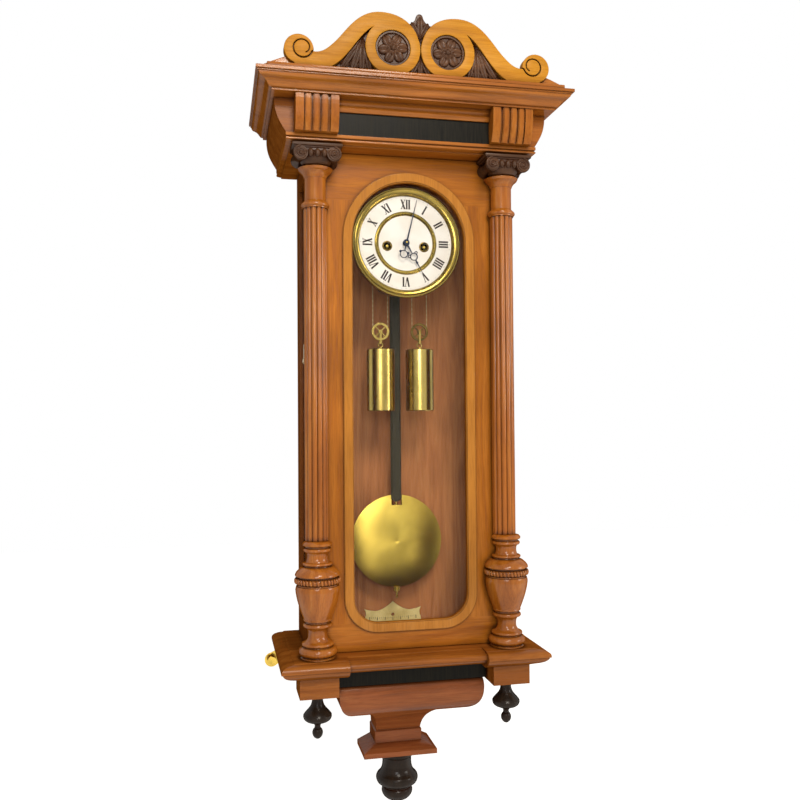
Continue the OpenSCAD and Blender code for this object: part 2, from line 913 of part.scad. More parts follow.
module leaf_plate(y0, y1) {
    translate([half_w, min(y0, y1), -hinge_h / 2])
        cube([leaf_t, abs(y1 - y0), hinge_h]);
}

module case_fittings() {
    color(brass) {
        wall_steadies();
        case_hinges();
    }
}

module case_hinges() {
    third = hinge_h / 3;
    for (z = hinge_z)
        translate([0, 0, z]) {
            difference() {
                union() {
                    leaf_plate(-case_d + 20, -case_d);
                    translate([hinge_x, hinge_y, -hinge_h / 2])
                        cylinder(r = knuckle_r, h = hinge_h, $fn = small_fn);
                }
                translate([hinge_x - 4, hinge_y - 6, -third / 2 - seat])
                    cube([12, 12, third + 2 * seat]);
            }
            translate([hinge_x, hinge_y, -hinge_h / 2])
                cylinder(r = pin_r, h = hinge_h, $fn = small_fn);
        }
}

module door_hinges() {
    third = hinge_h / 3;
    stud_z = latch_z;
    color(brass) {
        for (z = hinge_z)
            translate([0, 0, z])
                difference() {
                    union() {
                        translate([half_w, door_face + 1, -third / 2])
                            cube([leaf_t, door_t - 1 - gap, third]);
                        translate([hinge_x, hinge_y, -third / 2])
                            cylinder(r = knuckle_r, h = third, $fn = small_fn);
                        translate([half_w, hinge_y - 4, -third / 2])
                            cube([2.4, 3.4, third]);
                    }
                    translate([hinge_x, hinge_y, -third])
                        cylinder(r = pin_r + run, h = 2 * third, $fn = small_fn);
                }
        translate([-half_w, latch_stud_y, stud_z])
            rotate([0, -90, 0])
                cylinder(r = 1.6, h = 4.2, $fn = small_fn);
        translate([-half_w - 4.2, latch_stud_y, stud_z])
            rotate([0, -90, 0])
                cylinder(r = 3, h = 1.2, $fn = small_fn);
    }
}

// The hook stands upright when it is open, and lies forward over the stud when it is shut
latch_z = head_z - 330;
latch_y = -case_d + 12;
latch_stud_y = door_back - 9;

module latch_hook() {
    reach = latch_y - latch_stud_y;
    arm_t = 1.6;
    notch = 2.4;
    color(brass)
    translate([-half_w - 1, latch_y, latch_z])
        rotate([-90, 0, 0])
            rotate([90, 0, -90]) {
                linear_extrude(height = arm_t)
                    difference() {
                        union() {
                            circle(r = 5, $fn = small_fn);
                            translate([0, -3])
                                square([reach + 4, 6]);
                            translate([reach, 0])
                                circle(r = 5.2, $fn = small_fn);
                        }
                        translate([reach, 0])
                            circle(r = notch, $fn = small_fn);
                        translate([reach - notch, -8])
                            square([2 * notch, 8]);
                    }
                translate([0, 0, arm_t])
                    cylinder(r = 3.4, h = 1.4, $fn = small_fn);
                translate([0, 0, -0.8])
                    cylinder(r = 2, h = 0.8, $fn = small_fn);
            }
}

// The movement

// A wheel rim with straight-sided teeth that are narrow enough to clear a mating wheel
module tooth_rim(teeth, m, share = 0.4) {
    root = m * (teeth / 2 - 1.15);
    pitch = m * teeth / 2;
    tip = m * (teeth / 2 + 0.85);
    half = 90 * share / teeth * 2;
    polygon([
        for (i = [0:teeth - 1], k = [0:3])
            let (a = 360 * i / teeth + [-1.35, -0.45, 0.45, 1.35][k] * half, r = [root, tip, tip, root][k])
                [r * cos(a), r * sin(a)]
    ]);
}

// A crossed-out wheel in the X and Z plane, its front face at y
module wheel(x, z, y, thick, teeth, m, hub, spokes = 4, phase = 0) {
    rim_in = m * (teeth / 2 - 1.15) - 3;
    translate([x, y, z])
        rotate([90, phase, 0])
            linear_extrude(height = thick)
                difference() {
                    tooth_rim(teeth, m);
                    for (i = [0:spokes - 1])
                        rotate((i + 0.5) * 360 / spokes)
                            difference() {
                                intersection() {
                                    circle(r = rim_in);
                                    rotate(-180 / spokes)
                                        polygon([[0, 0], [far, 0], [far * cos(360 / spokes),
                                            far * sin(360 / spokes)]]);
                                }
                                circle(r = hub);
                                rotate(-180 / spokes)
                                    translate([0, -1.2])
                                        square([far, 2.4]);
                                rotate(180 / spokes)
                                    translate([0, -1.2])
                                        square([far, 2.4]);
                            }
                }
}

module pinion(x, z, y, thick, teeth, m, phase = 0) {
    translate([x, y, z])
        rotate([90, phase, 0])
            linear_extrude(height = thick)
                tooth_rim(teeth, m, 0.32);
}

// Places in the movement, from the dial centre
third_at = [12, 18.44];
escape_at = [0, 29.32];
minute_at = [-9.9, -9.9];
pin_at = [-40, 24.7];
fly_at = [-27, 34.03];
hammer_at = [-58, 14];
centre_m = 0.5;
third_m = 0.45;
motion_m = 0.5;
hour_m = 28 / 60;
fly_m = 0.4;
pivot_r = 0.9;

// Depth in front of the back plate's inner face, as a place along Y
function in_plates(w) = back_plate_y - plate_t - w;

module arbor(at, r, w0, w1) {
    rod_y(at[0], dial_z + at[1], in_plates(w0), w1 - w0, r);
    rod_y(at[0], dial_z + at[1], in_plates(-plate_t), plate_gap + 2 * plate_t, pivot_r);
}

module plate_outline() {
    translate([-plate_half_w, plate_low])
        square([2 * plate_half_w, plate_high - plate_low]);
}

pillar_places = [[-57, -35], [57, -35], [-57, 55], [57, 55]];

module plate_holes(y) {
    for (at = [third_at, escape_at, pin_at, fly_at])
        rod_y(at[0], dial_z + at[1], y + 1, plate_t + 2, pivot_r + run);
    rod_y(0, dial_z, y + 1, plate_t + 2, 1.5 + run);
    rod_y(0, anchor_z, y + 1, plate_t + 2, 1 + run);
    rod_y(hammer_at[0], dial_z + hammer_at[1], y + 1, plate_t + 2, 1.5 + run);
    for (s = [-1, 1])
        rod_y(s * winding_x, winding_z, y + 1, plate_t + 2, winding_arbor_r + run);
}

module back_plate() {
    color(brass) {
        difference() {
            upright(back_plate_y, plate_t)
                plate_outline();
            plate_holes(back_plate_y);
        }
        for (p = pillar_places)
            rod_y(p[0], dial_z + p[1], back_plate_y - plate_t, plate_gap, 4);
        for (s = [-1, 1])
            rod_y(s * post_x, post_z, back_plate_y - plate_t, plate_gap, 1.5);
    }
}

module front_plate() {
    color(brass) {
        difference() {
            upright(front_plate_y, plate_t)
                plate_outline();
            plate_holes(front_plate_y);
        }
        for (p = pillar_places)
            rod_y(p[0], dial_z + p[1], front_plate_y - plate_t, 2.5, 3.5, 6);
        rod_y(minute_at[0], dial_z + minute_at[1], front_plate_y - plate_t, 11, 1.2);
    }
}

// Height of the fixed suspension clamp above the anchor arbor
clamp_low = 6;

// The bracket on the back board that carries the movement and the pendulum
module movement_bracket() {
    wall_t = 4;
    arm_x = 46;
    arm_z = dial_z + 40;
    reach = plate_back - back_t - wall_t;
    cheek = 3;
    color("#3a3a38") {
        translate([-arm_x - 8, -back_t - wall_t, arm_z - 12])
            cube([2 * arm_x + 16, wall_t, 40]);
        both_sides()
            translate([arm_x - 5, -plate_back, arm_z - 6])
                cube([10, reach, 12]);
        for (s = [-1, 1])
            translate([s * 6.5 - cheek / 2, -pendulum_y - 7, anchor_z + 7])
                cube([cheek, pendulum_y + 7 - back_t - wall_t, 12]);
        difference() {
            translate([-5.5, -pendulum_y - 5, anchor_z + clamp_low])
                cube([11, 10, 10]);
            translate([-0.65, -pendulum_y - 4.4, anchor_z + clamp_low - 1])
                cube([1.3, 8.8, 4]);
        }
        rod_x(0, -pendulum_y, anchor_z + 12, 20, 1.5);
    }
}

module rod_x(x, y, z, length, r) {
    translate([x - length / 2, y, z])
        rotate([0, 90, 0])
            cylinder(r = r, h = length, $fn = small_fn);
}

module centre_wheel() {
    front = dial_back - 12.5;
    color(brass) {
        wheel(0, dial_z, in_plates(26), 1.5, 80, centre_m, 4, 4, 0);
        pinion(0, dial_z, in_plates(28.5), 5, centre_pinion_teeth, great_m, centre_phase);
        rod_y(0, dial_z, back_plate_y, back_plate_y - front, 1.5);
        rod_y(0, dial_z, in_plates(2), 24, 2.5);
        pinion(0, dial_z, front_plate_y - plate_t - 1, 5, 14, motion_m, 0.9);
    }
}

centre_phase = 18.5;

module third_wheel() {
    color(brass) {
        pinion(third_at[0], dial_z + third_at[1], in_plates(24.8), 3.9, 8, centre_m, third_phase);
        wheel(third_at[0], dial_z + third_at[1], in_plates(12), 1.2, 64, third_m, 3, 4, 10);
        arbor(third_at, 1.6, 2, 24.5);
    }
}

// Turns the pinion so that a gap meets the tooth of its wheel
third_phase = 26.2;
escape_phase = 7.5;

module escape_wheel() {
    teeth = 30;
    root = 10.6;
    tip = 13;
    x = escape_at[0];
    z = dial_z + escape_at[1];
    color(brass) {
        pinion(x, z, in_plates(10.7), 3.8, 8, third_m, escape_phase);
        arbor(escape_at, 1.6, 2, 10.4);
        translate([x, in_plates(16), z])
            rotate([90, 0, 0])
                linear_extrude(height = 1.2)
                    difference() {
                        polygon([
                            for (i = [0:teeth - 1], k = [0:2])
                                let (a = 360 * i / teeth + [-1.2, 3.2, 4.4][k], r = [root, tip, tip][k])
                                    [r * cos(a), r * sin(a)]
                        ]);
                        for (i = [0:3])
                            rotate(45 + 90 * i)
                                translate([5.6, 0])
                                    circle(r = 2.6, $fn = small_fn);
                    }
        rod_y(x, z, in_plates(14.4), 22, 1.4);
    }
}

// Distance of the crutch pin below the anchor arbor, and its radius
crutch_reach = 101;
crutch_pin_r = 1.5;

// The anchor with its arbor, and the crutch that runs down behind the plate to the rod
module anchor() {
    z = anchor_z;
    y = in_plates(16);
    pallet_x = 10.6;
    pallet_drop = 10.6;
    crutch_y = -plate_back + 5;
    crutch_l = crutch_reach + 3;
    color(steel) {
        rod_y(0, z, crutch_y, crutch_y - in_plates(plate_gap + plate_t), 1);
        rod_y(0, z, y + 1, 3.4, 3);
        upright(y, 1.4)
            difference() {
                union() {
                    translate([0, z])
                        circle(r = 4.2, $fn = small_fn);
                    translate([0, z])
                        both_sides_flat()
                            polygon([[0, 3], [3, 3], [pallet_x + 3.4, -5], [pallet_x + 3.4, -pallet_drop],
                                [pallet_x + 1.2, -pallet_drop], [pallet_x + 0.6, -5.8], [0, -1.4]]);
                }
                translate([0, z])
                    circle(r = 2.4, $fn = small_fn);
            }
        translate([-2, crutch_y - 2, z - crutch_l])
            cube([4, 2, crutch_l + 2]);
        rod_y(0, z - crutch_reach, -pendulum_y + 3, -pendulum_y + 3 - crutch_y, crutch_pin_r);
    }
}

module minute_wheel() {
    x = minute_at[0];
    z = dial_z + minute_at[1];
    y = front_plate_y - plate_t - 2;
    color(brass)
    difference() {
        union() {
            wheel(x, z, y, 1.5, 42, motion_m, 4, 4, 4);
            pinion(x, z, y - 1.5, 5.5, 12, hour_m, minute_phase);
        }
        rod_y(x, z, y + 1, 20, 1.2 + run);
    }
}

minute_phase = 0;

module hour_wheel() {
    y = front_plate_y - plate_t - 6.5;
    color(brass)
    difference() {
        union() {
            wheel(0, dial_z, y, 1.5, 48, hour_m, 5, 4, hour_phase);
            rod_y(0, dial_z, y, y - dial_back + 9.2, 3.6);
        }
        rod_y(0, dial_z, y + 1, 60, 1.5 + run);
    }
}

hour_phase = 0;
hand_t = 0.8;
hour_hand_y = dial_back - 7.6;
minute_hand_y = dial_back - 10.6;

// A pierced serpentine hand, pointing up from the dial centre
module hand_outline(length, swell_at, hub, bore) {
    difference() {
        union() {
            circle(r = hub, $fn = small_fn);
            polygon([[-1.7, 0], [1.7, 0], [0.9, swell_at - 7], [-0.9, swell_at - 7]]);
            translate([0, swell_at])
                difference() {
                    union() {
                        circle(r = 6.6, $fn = small_fn);
                        for (s = [-1, 1])
                            translate([s * 6.4, -4])
                                circle(r = 2.7, $fn = 24);
                    }
                    circle(r = 5.1, $fn = small_fn);
                    for (s = [-1, 1])
                        translate([s * 6.4, -4])
                            circle(r = 1.3, $fn = 24);
                }
            polygon([[-1.1, swell_at + 5.5], [1.1, swell_at + 5.5], [0.3, length], [-0.3, length]]);
            translate([0, swell_at + 11])
                circle(r = 2, $fn = 24);
        }
        circle(r = bore, $fn = small_fn);
    }
}

module hour_hand() {
    color("#20242c")
    upright(hour_hand_y, hand_t)
        translate([0, dial_z])
            rotate(-hour_angle)
                hand_outline(dial_ring_r + 6, 26, 5.4, 3.6 + run);
}

module minute_hand() {
    tail = 20;
    color("#20242c")
    upright(minute_hand_y, hand_t)
        translate([0, dial_z])
            rotate(-minute_angle) {
                difference() {
                    union() {
                        circle(r = 4.6, $fn = small_fn);
                        polygon([[-1.3, 0], [1.3, 0], [0.35, chapter_r - 5], [-0.35, chapter_r - 5]]);
                        translate([0, 45])
                            circle(r = 1.7, $fn = 24);
                        polygon([[-1, 0], [1, 0], [0.8, -tail + 6], [-0.8, -tail + 6]]);
                    }
                    circle(r = 1.5 + run, $fn = small_fn);
                }
                translate([0, -tail])
                    difference() {
                        union() {
                            circle(r = 6.6, $fn = small_fn);
                            for (s = [-1, 1])
                                translate([s * 6.4, 3])
                                    circle(r = 2.2, $fn = 24);
                        }
                        circle(r = 5.3, $fn = small_fn);
                    }
            }
}

module barrel(side) {
    x = side * winding_x;
    drum_w = 22.5;
    square_r = 2.6;
    front = dial_back - 3;
    rod_y(x, winding_z, in_plates(1.5), drum_w, barrel_r - line_d / 2);
    for (w = [1.5, drum_w - 0.5])
        rod_y(x, winding_z, in_plates(w), 2, 16.8);
    rod_y(x, winding_z, in_plates(-plate_t), plate_gap + 2 * plate_t, winding_arbor_r);
    rod_y(x, winding_z, front_plate_y - plate_t, front_plate_y - plate_t - front, square_r, 4);
}

module going_barrel() {
    color(brass)
        barrel(1);
}

module strike_barrel() {
    color(brass)
        barrel(-1);
}

// A great wheel runs free on its barrel's arbor, behind a collar, so that winding leaves it still
module great_wheel(side, w_wheel, phase) {
    x = side * winding_x;
    color(brass)
    difference() {
        union() {
            wheel(x, winding_z, in_plates(w_wheel), 2, great_teeth, great_m, 7, 6, phase);
            rod_y(x, winding_z, in_plates(w_wheel - 3), 3, 5.5);
        }
        rod_y(x, winding_z, in_plates(w_wheel - 4), 8, winding_arbor_r + run);
    }
}

module going_great_wheel() {
    great_wheel(1, 30, 0.6);
}

module strike_great_wheel() {
    great_wheel(-1, 34, 0);
}

winding_arbor_r = 3;

module pin_wheel() {
    z = dial_z + pin_at[1];
    pins = 8;
    pin_ring = 12.3;
    color(brass) {
        pinion(pin_at[0], z, in_plates(33.4), 3.4, 12, great_m, pin_phase);
        arbor(pin_at, 1.6, 2, 33.2);
        wheel(pin_at[0], z, in_plates(28), 1.2, 72, fly_m, 4, 4, 0);
        for (i = [0:pins - 1])
            rod_y(pin_at[0] + pin_ring * cos(45 * i), z + pin_ring * sin(45 * i),
                in_plates(24.5), 3.5, 0.7, 24);
    }
}

pin_phase = 9.2;

module strike_fly() {
    z = dial_z + fly_at[1];
    color(brass) {
        pinion(fly_at[0], z, in_plates(26.6), 4, 8, fly_m, fly_phase);
        arbor(fly_at, 1, 2, 26.4);
        translate([fly_at[0] - 6, in_plates(22), z - 0.4])
            cube([12, 16, 0.8]);
    }
}

fly_phase = 25.9;

// Its arbor runs through the plates and back to the gong
module strike_hammer() {
    x = hammer_at[0];
    z = dial_z + hammer_at[1];
    arm_y = -back_t - 11;
    head = [-gong_r - 8, gong_z + 4];
    color(steel) {
        rod_y(x, z, arm_y + 1, arm_y + 1 - in_plates(plate_gap + plate_t), 1.5);
        upright(arm_y, 2)
            polygon([[x - 2, z + 3], [x + 2, z + 3], [head[0] + 1.5, head[1]], [head[0] - 1.5, head[1]]]);
        rod_x(head[0], arm_y - 1, head[1], 11, 4.5);
    }
}

// The gong: a flat spiral of steel on a block
gong_z = dial_z - 24;
gong_r = 46;
// The gong stands off the back board by a share of the space behind the pendulum
gong_share = 0.32;
gong_stand = gong_share * (pendulum_y - rod_t / 2 - back_t);
gong_y = -back_t - gong_stand;

module gong_coil() {
    turns = 4;
    steps = 96;
    pitch = 6;
    wire = 2.4;
    outer = [for (i = [0:steps]) let (a = 360 * turns * i / steps,
        r = gong_r - pitch * turns * i / steps) [r * cos(a + 180), gong_z + r * sin(a + 180)]];
    inner = [for (i = [steps:-1:0]) let (a = 360 * turns * i / steps,
        r = gong_r - wire - pitch * turns * i / steps) [r * cos(a + 180), gong_z + r * sin(a + 180)]];
    color(steel) {
        upright(gong_y, 4)
            polygon(concat(outer, inner));
        upright(gong_y, 4)
            polygon([[-gong_in() - 1, gong_z], [-gong_in() + wire, gong_z], [5, gong_z - 4],
                [-5, gong_z - 4]]);
    }
}

// Radius at the inner end of the gong
function gong_in() = gong_r - 24;

module gong_block() {
    color("#5b5b57") {
        rod_y(0, gong_z, -back_t, gong_stand, 11);
        rod_y(0, gong_z - 1, gong_y - 4, 4, 7);
        rod_y(0, gong_z - 1, gong_y - 8, 2, 3.6, 6);
    }
}

// The dial

hole_r = 6.4;

module dial_plate() {
    feet = [[-50, -32], [50, -32], [-50, 48], [50, 48]];
    color(brass) {
        difference() {
            rod_y(0, dial_z, dial_back, 1.5, bezel_r - 6, $fn);
            rod_y(0, dial_z, dial_back + 1, 4, 5);
            for (s = [-1, 1])
                rod_y(s * winding_x, winding_z, dial_back + 1, 4, hole_r);
        }
        for (p = feet)
            rod_y(p[0], dial_z + p[1], front_plate_y - plate_t,
                front_plate_y - plate_t - dial_back, 2.5);
    }
}

enamel_t = 2;

module dial_enamels() {
    y = dial_back - 1.5;
    inner_r = dial_ring_r - dial_ring_w;
    color(enamel) {
        difference() {
            rod_y(0, dial_z, y, enamel_t, chapter_r - seat, $fn);
            rod_y(0, dial_z, y + 1, enamel_t + 2, dial_ring_r + seat, $fn);
        }
        difference() {
            rod_y(0, dial_z, y, enamel_t - 0.6, inner_r - seat, $fn);
            rod_y(0, dial_z, y + 1, enamel_t + 2, 5);
            for (s = [-1, 1])
                rod_y(s * winding_x, winding_z, y + 1, enamel_t + 2, hole_r);
        }
    }
}

module dial_rings() {
    y = dial_back - 1.5;
    inner_r = dial_ring_r - dial_ring_w;
    color(brass) {
        bezel();
        translate([0, y, dial_z])
            rotate([90, 0, 0])
                rotate_extrude()
                    polygon(concat([[inner_r, 0], [dial_ring_r, 0], [dial_ring_r, enamel_t]],
                        arc([(inner_r + dial_ring_r) / 2, enamel_t], dial_ring_w / 2 - 0.4, 20, 160, 6),
                        [[inner_r, enamel_t]]));
        for (s = [-1, 1])
            translate([s * winding_x, dial_back, winding_z])
                rotate([90, 0, 0])
                    difference() {
                        union() {
                            cylinder(r = hole_r - run, h = 4, $fn = small_fn);
                            translate([0, 0, 3])
                                cylinder(r = hole_r + 1, h = 0.8, $fn = small_fn);
                        }
                        translate([0, 0, -1])
                            cylinder(r = hole_r - 1.4, h = 6, $fn = small_fn);
                    }
    }
}

// The bezel laps over the edges of the dial plate and of the chapter ring
module bezel() {
    y = dial_back + 1;
    translate([0, y, dial_z])
        rotate([90, 0, 0])
            rotate_extrude()
                polygon(concat(
                    [[bezel_r - 5.9, 0], [bezel_r, 0]],
                    bend([bezel_r, 3.5], [bezel_r - 0.5, 9], [bezel_r - 3, 12], [bezel_r - 5, 12.5], 6),
                    [[bezel_r - 5, 12.5]],
                    bend([bezel_r - 5.6, 11.6], [bezel_r - 8, 11.2], [bezel_r - 10, 8.6],
                        [chapter_r, 5.6], 6),
                    [[chapter_r, 5.6], [chapter_r, 2.8], [bezel_r - 5.9, 2.8]]
                ));
}

// A brass plate with a scale, that the tip of the pendulum swings over
module beat_plate() {
    low = dial_z - 650;
    top = dial_z - 611;
    half = 51;
    right = concat(
        bend([0, top], [12, top - 11], [26, top - 19], [38, top - 15], 8),
        bend([38, top - 15], [43, top - 15], [47, top - 13], [half, top - 12], 5),
        bend([half, top - 12], [half - 5, top - 18], [half - 3, top - 26], [half + 1, top - 30], 6),
        [[half + 1, low], [0, low]]
    );
    color("#e3cf74")
    difference() {
        upright(-back_t, 1.6)
            polygon(concat(right, backwards(flip_x(right))));
        rod_y(0, top - 23, -back_t + 1, 4, 3);
        for (i = [-4:4])
            translate([i * 9.5 - 0.5, -back_t - 1.8, low - 1])
                cube([1, 1, 9]);
    }
}

// Pendulum

module suspension_spring() {
    color(steel) {
        translate([-0.15, -pendulum_y - 4, anchor_z - 12.5])
            cube([0.3, 8, clamp_low + 14.5]);
        translate([-3, -pendulum_y - 4.6, anchor_z - 18])
            cube([6, 9.2, 6]);
    }
}

rod_low = bob_z + 68;

module pendulum_rod() {
    top = anchor_z - 30;
    bevel = rod_t / 3;
    section = [
        [-rod_w / 2, -rod_t / 2 + bevel], [-rod_w / 2 + bevel, -rod_t / 2],
        [rod_w / 2 - bevel, -rod_t / 2], [rod_w / 2, -rod_t / 2 + bevel],
        [rod_w / 2, rod_t / 2 - bevel], [rod_w / 2 - bevel, rod_t / 2],
        [-rod_w / 2 + bevel, rod_t / 2], [-rod_w / 2, rod_t / 2 - bevel]
    ];
    slot_z = anchor_z - crutch_reach;
    color(ebony)
    difference() {
        translate([0, -pendulum_y, 0]) {
            translate([0, 0, rod_low + rod_w / 2])
                linear_extrude(height = top - rod_low - rod_w / 2)
                    polygon(section);
            rod_y(0, rod_low + rod_w / 2, rod_t / 2, rod_t, rod_w / 2);
            translate([-5.5, -2.9, top])
                cube([11, 5.8, 12]);
        }
        translate([-crutch_pin_r - 0.3, -pendulum_y - rod_t, slot_z - 5])
            cube([2 * crutch_pin_r + 0.6, 2 * rod_t, 10]);
    }
}

// A lens of thin brass over lead, with a channel up its middle for the rod
module pendulum_bob() {
    edge = 3;
    dome = (bob_t - edge) / 2;
    sphere_r = (bob_r * bob_r + dome * dome) / (2 * dome);
    color(brass)
    difference() {
        translate([0, -pendulum_y, bob_z])
            intersection() {
                translate([0, sphere_r - dome - edge / 2, 0])
                    rotate([90, 0, 0])
                        sphere(r = sphere_r, $fn = 180);
                translate([0, -sphere_r + dome + edge / 2, 0])
                    rotate([90, 0, 0])
                        sphere(r = sphere_r, $fn = 180);
                rotate([90, 0, 0])
                    cylinder(r = bob_r - 0.4, h = bob_t, center = true);
            }
        translate([-rod_w / 2 - seat, -pendulum_y - bob_t, rod_low - 6])
            cube([rod_w + 2 * seat, 2 * bob_t, bob_r]);
        translate([0, -pendulum_y, bob_z - bob_r - 1])
            cylinder(r = 2 + run, h = 2 * bob_r, $fn = small_fn);
    }
}

module rating_nut() {
    z = bob_z - bob_r - 0.3;
    color(brass)
    translate([0, -pendulum_y, 0]) {
        difference() {
            translate([0, 0, z - 6])
                cylinder(r = 6, h = 6, $fn = small_fn);
            translate([0, 0, z - 7])
                cylinder(r = 2 + run, h = 8, $fn = small_fn);
        }
        translate([0, 0, z - 18])
            cylinder(r = 2, h = rod_low - z + 18, $fn = small_fn);
    }
}

// Weights

module weight(side) {
    x = side * weight_x;
    cap = 2;
    z = weight_top;
    color(brass)
    translate([x, line_y, 0]) {
        turned([
            [0, z - weight_h], [weight_r - 1, z - weight_h], [weight_r, z - weight_h + 1],
            [weight_r, z - 1], [weight_r - 1, z], [5, z], [4, z + cap], [1.6, z + cap], [1.6, z + 3.5],
            [0, z + 3.5]
        ]);
        hook_r = 4;
        translate([0, 0, z + 3.5 + hook_r - 0.4])
            rotate([90, 0, 0])
                rotate_extrude($fn = small_fn)
                    translate([hook_r, 0])
                        circle(r = 0.9, $fn = 24);
    }
}

module yoke(side) {
    x = side * weight_x;
    fork = 4.2;
    t = 1.2;
    strap_w = 3;
    low = pulley_z - pulley_r - 5;
    color(brass)
    translate([x, line_y, 0]) {
        for (s = [-1, 1])
            translate([-strap_w / 2, s * fork - t / 2, low])
                cube([strap_w, t, pulley_z - low + 3]);
        translate([-strap_w / 2, -fork, low - t])
            cube([strap_w, 2 * fork, t]);
        translate([0, fork + 0.5, pulley_z])
            rotate([90, 0, 0])
                cylinder(r = 1.2, h = 2 * fork + 1, $fn = small_fn);
    }
}

module going_weight() {
    weight(1);
    yoke(1);
}

module strike_weight() {
    weight(-1);
    yoke(-1);
}

// A grooved and crossed-out pulley
module pulley(side) {
    color(brass)
    translate([side * weight_x, line_y, pulley_z])
        rotate([90, 0, 0])
            difference() {
                union() {
                    rotate_extrude()
                        polygon([[11.2, -2], [pulley_r, -2], [sheave_r - line_d / 2, -0.5],
                            [sheave_r - line_d / 2, 0.5], [pulley_r, 2], [11.2, 2]]);
                    cylinder(r = 3.4, h = 5, center = true, $fn = small_fn);
                    for (i = [0:1])
                        rotate(45 + 90 * i)
                            cube([23.2, 1.8, 2], center = true);
                }
                cylinder(r = 1.2 + run, h = 10, center = true, $fn = small_fn);
            }
}

module going_pulley() {
    pulley(1);
}

module strike_pulley() {
    pulley(-1);
}

// From the barrel down, round the pulley and up to the post between the plates
module gut_line(side) {
    drum_x = side * (winding_x + barrel_r);
    color("#b9a878") {
        translate([drum_x, line_y, pulley_z])
            cylinder(r = line_d / 2, h = winding_z - pulley_z, $fn = 24);
        translate([side * post_x, line_y, pulley_z])
            cylinder(r = line_d / 2, h = post_z - 1.5 - pulley_z, $fn = 24);
        translate([side * weight_x, line_y, pulley_z])
            rotate([90, 0, 0])
                rotate_extrude(angle = -180, $fn = 96)
                    translate([sheave_r, 0])
                        circle(r = line_d / 2, $fn = 24);
    }
}

module going_line() {
    gut_line(1);
}

module strike_line() {
    gut_line(-1);
}

back_board();
side_frames();
side_glasses();
head_board();
frieze_box();
frieze_panel();
frieze_consoles();
cornice();
crest_scrolls();
crest_carving();
crest_rosettes();
base_shelf();
corner_blocks();
base_band();
apron();
drop_finials();
hanger_plate();
case_fittings();
movement_bracket();
beat_plate();
front_plate();
back_plate();
dial_plate();
dial_enamels();
dial_rings();
gong_coil();
gong_block();
going_line();
strike_line();
door_frame();
opening_bead();
door_glass();
column_shafts();
column_capitals();
column_urns();
door_hinges();
latch_hook();
centre_wheel();
third_wheel();
escape_wheel();
anchor();
minute_wheel();
hour_wheel();
minute_hand();
hour_hand();
going_barrel();
strike_barrel();
going_great_wheel();
strike_great_wheel();
pin_wheel();
strike_fly();
strike_hammer();
suspension_spring();
pendulum_rod();
pendulum_bob();
rating_nut();
going_weight();
strike_weight();
going_pulley();
strike_pulley();
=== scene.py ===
# %% [markdown]
# A two-weight regulator is a tall glazed box of walnut that hangs on a wall. Its joiner's work
# is already here as a frame of real pieces in real sizes, so this lesson gives each piece the
# finish that a hundred years of polish give it, and carves what a saw and a lathe can't: the
# scrolls, the rosettes, the capitals, the leaves, the figures on the dial. The frame comes
# first, and its box is kept, because nothing that follows may make the clock larger.

# %% The frame
import bpy
from math import atan2, cos, degrees, hypot, pi, radians, sin, tau
from mathutils import Matrix, Vector


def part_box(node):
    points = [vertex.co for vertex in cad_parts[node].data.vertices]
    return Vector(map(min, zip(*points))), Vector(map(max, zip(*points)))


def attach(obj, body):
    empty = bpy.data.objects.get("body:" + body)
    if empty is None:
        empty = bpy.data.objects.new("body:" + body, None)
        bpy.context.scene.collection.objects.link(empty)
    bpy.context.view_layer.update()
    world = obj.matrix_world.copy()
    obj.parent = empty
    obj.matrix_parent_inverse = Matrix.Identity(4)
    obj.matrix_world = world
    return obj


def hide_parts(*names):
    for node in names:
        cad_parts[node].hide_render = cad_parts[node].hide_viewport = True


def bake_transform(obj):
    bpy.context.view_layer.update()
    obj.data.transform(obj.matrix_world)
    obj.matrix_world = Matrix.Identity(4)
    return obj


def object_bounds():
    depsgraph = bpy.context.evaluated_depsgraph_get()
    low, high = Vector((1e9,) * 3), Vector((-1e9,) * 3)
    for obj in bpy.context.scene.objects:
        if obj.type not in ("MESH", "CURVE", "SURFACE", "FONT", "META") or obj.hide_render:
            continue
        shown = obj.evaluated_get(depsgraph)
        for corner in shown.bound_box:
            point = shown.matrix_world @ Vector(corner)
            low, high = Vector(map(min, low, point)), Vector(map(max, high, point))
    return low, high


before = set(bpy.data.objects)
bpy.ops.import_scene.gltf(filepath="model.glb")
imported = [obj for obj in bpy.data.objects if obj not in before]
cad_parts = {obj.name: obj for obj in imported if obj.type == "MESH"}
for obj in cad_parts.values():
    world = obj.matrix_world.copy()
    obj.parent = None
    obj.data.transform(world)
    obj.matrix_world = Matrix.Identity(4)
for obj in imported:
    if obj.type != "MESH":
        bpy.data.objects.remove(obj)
frame_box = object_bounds()
bpy.ops.object.select_all(action="DESELECT")
MM = 0.001

# %% [markdown]
# Most places on the clock are measured from two points: the middle of the dial and the top of
# the cornice. Both are read from the frame's boxes, so the carving follows the case.

# %% Places on the clock
rings_low, rings_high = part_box("dial_rings")
dial = Vector((0, rings_low.y, (rings_low.z + rings_high.z) / 2))
enamel_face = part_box("dial_enamels")[0].y
cornice_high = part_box("cornice")[1]
crest_low, crest_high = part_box("crest_scrolls")
print("dial centre", dial, "cornice top", round(cornice_high.z, 4))

# %% [markdown]
# The camera stands a little to the left of the clock and below the dial, as the photographer
# did. It turns right by twelve degrees and looks up by a degree and a half, and that is what
# shows the left side of the cornice and of the shelf. A camera in Blender looks along its own
# minus Z, so its axes are built from the viewing direction and then written as a matrix.

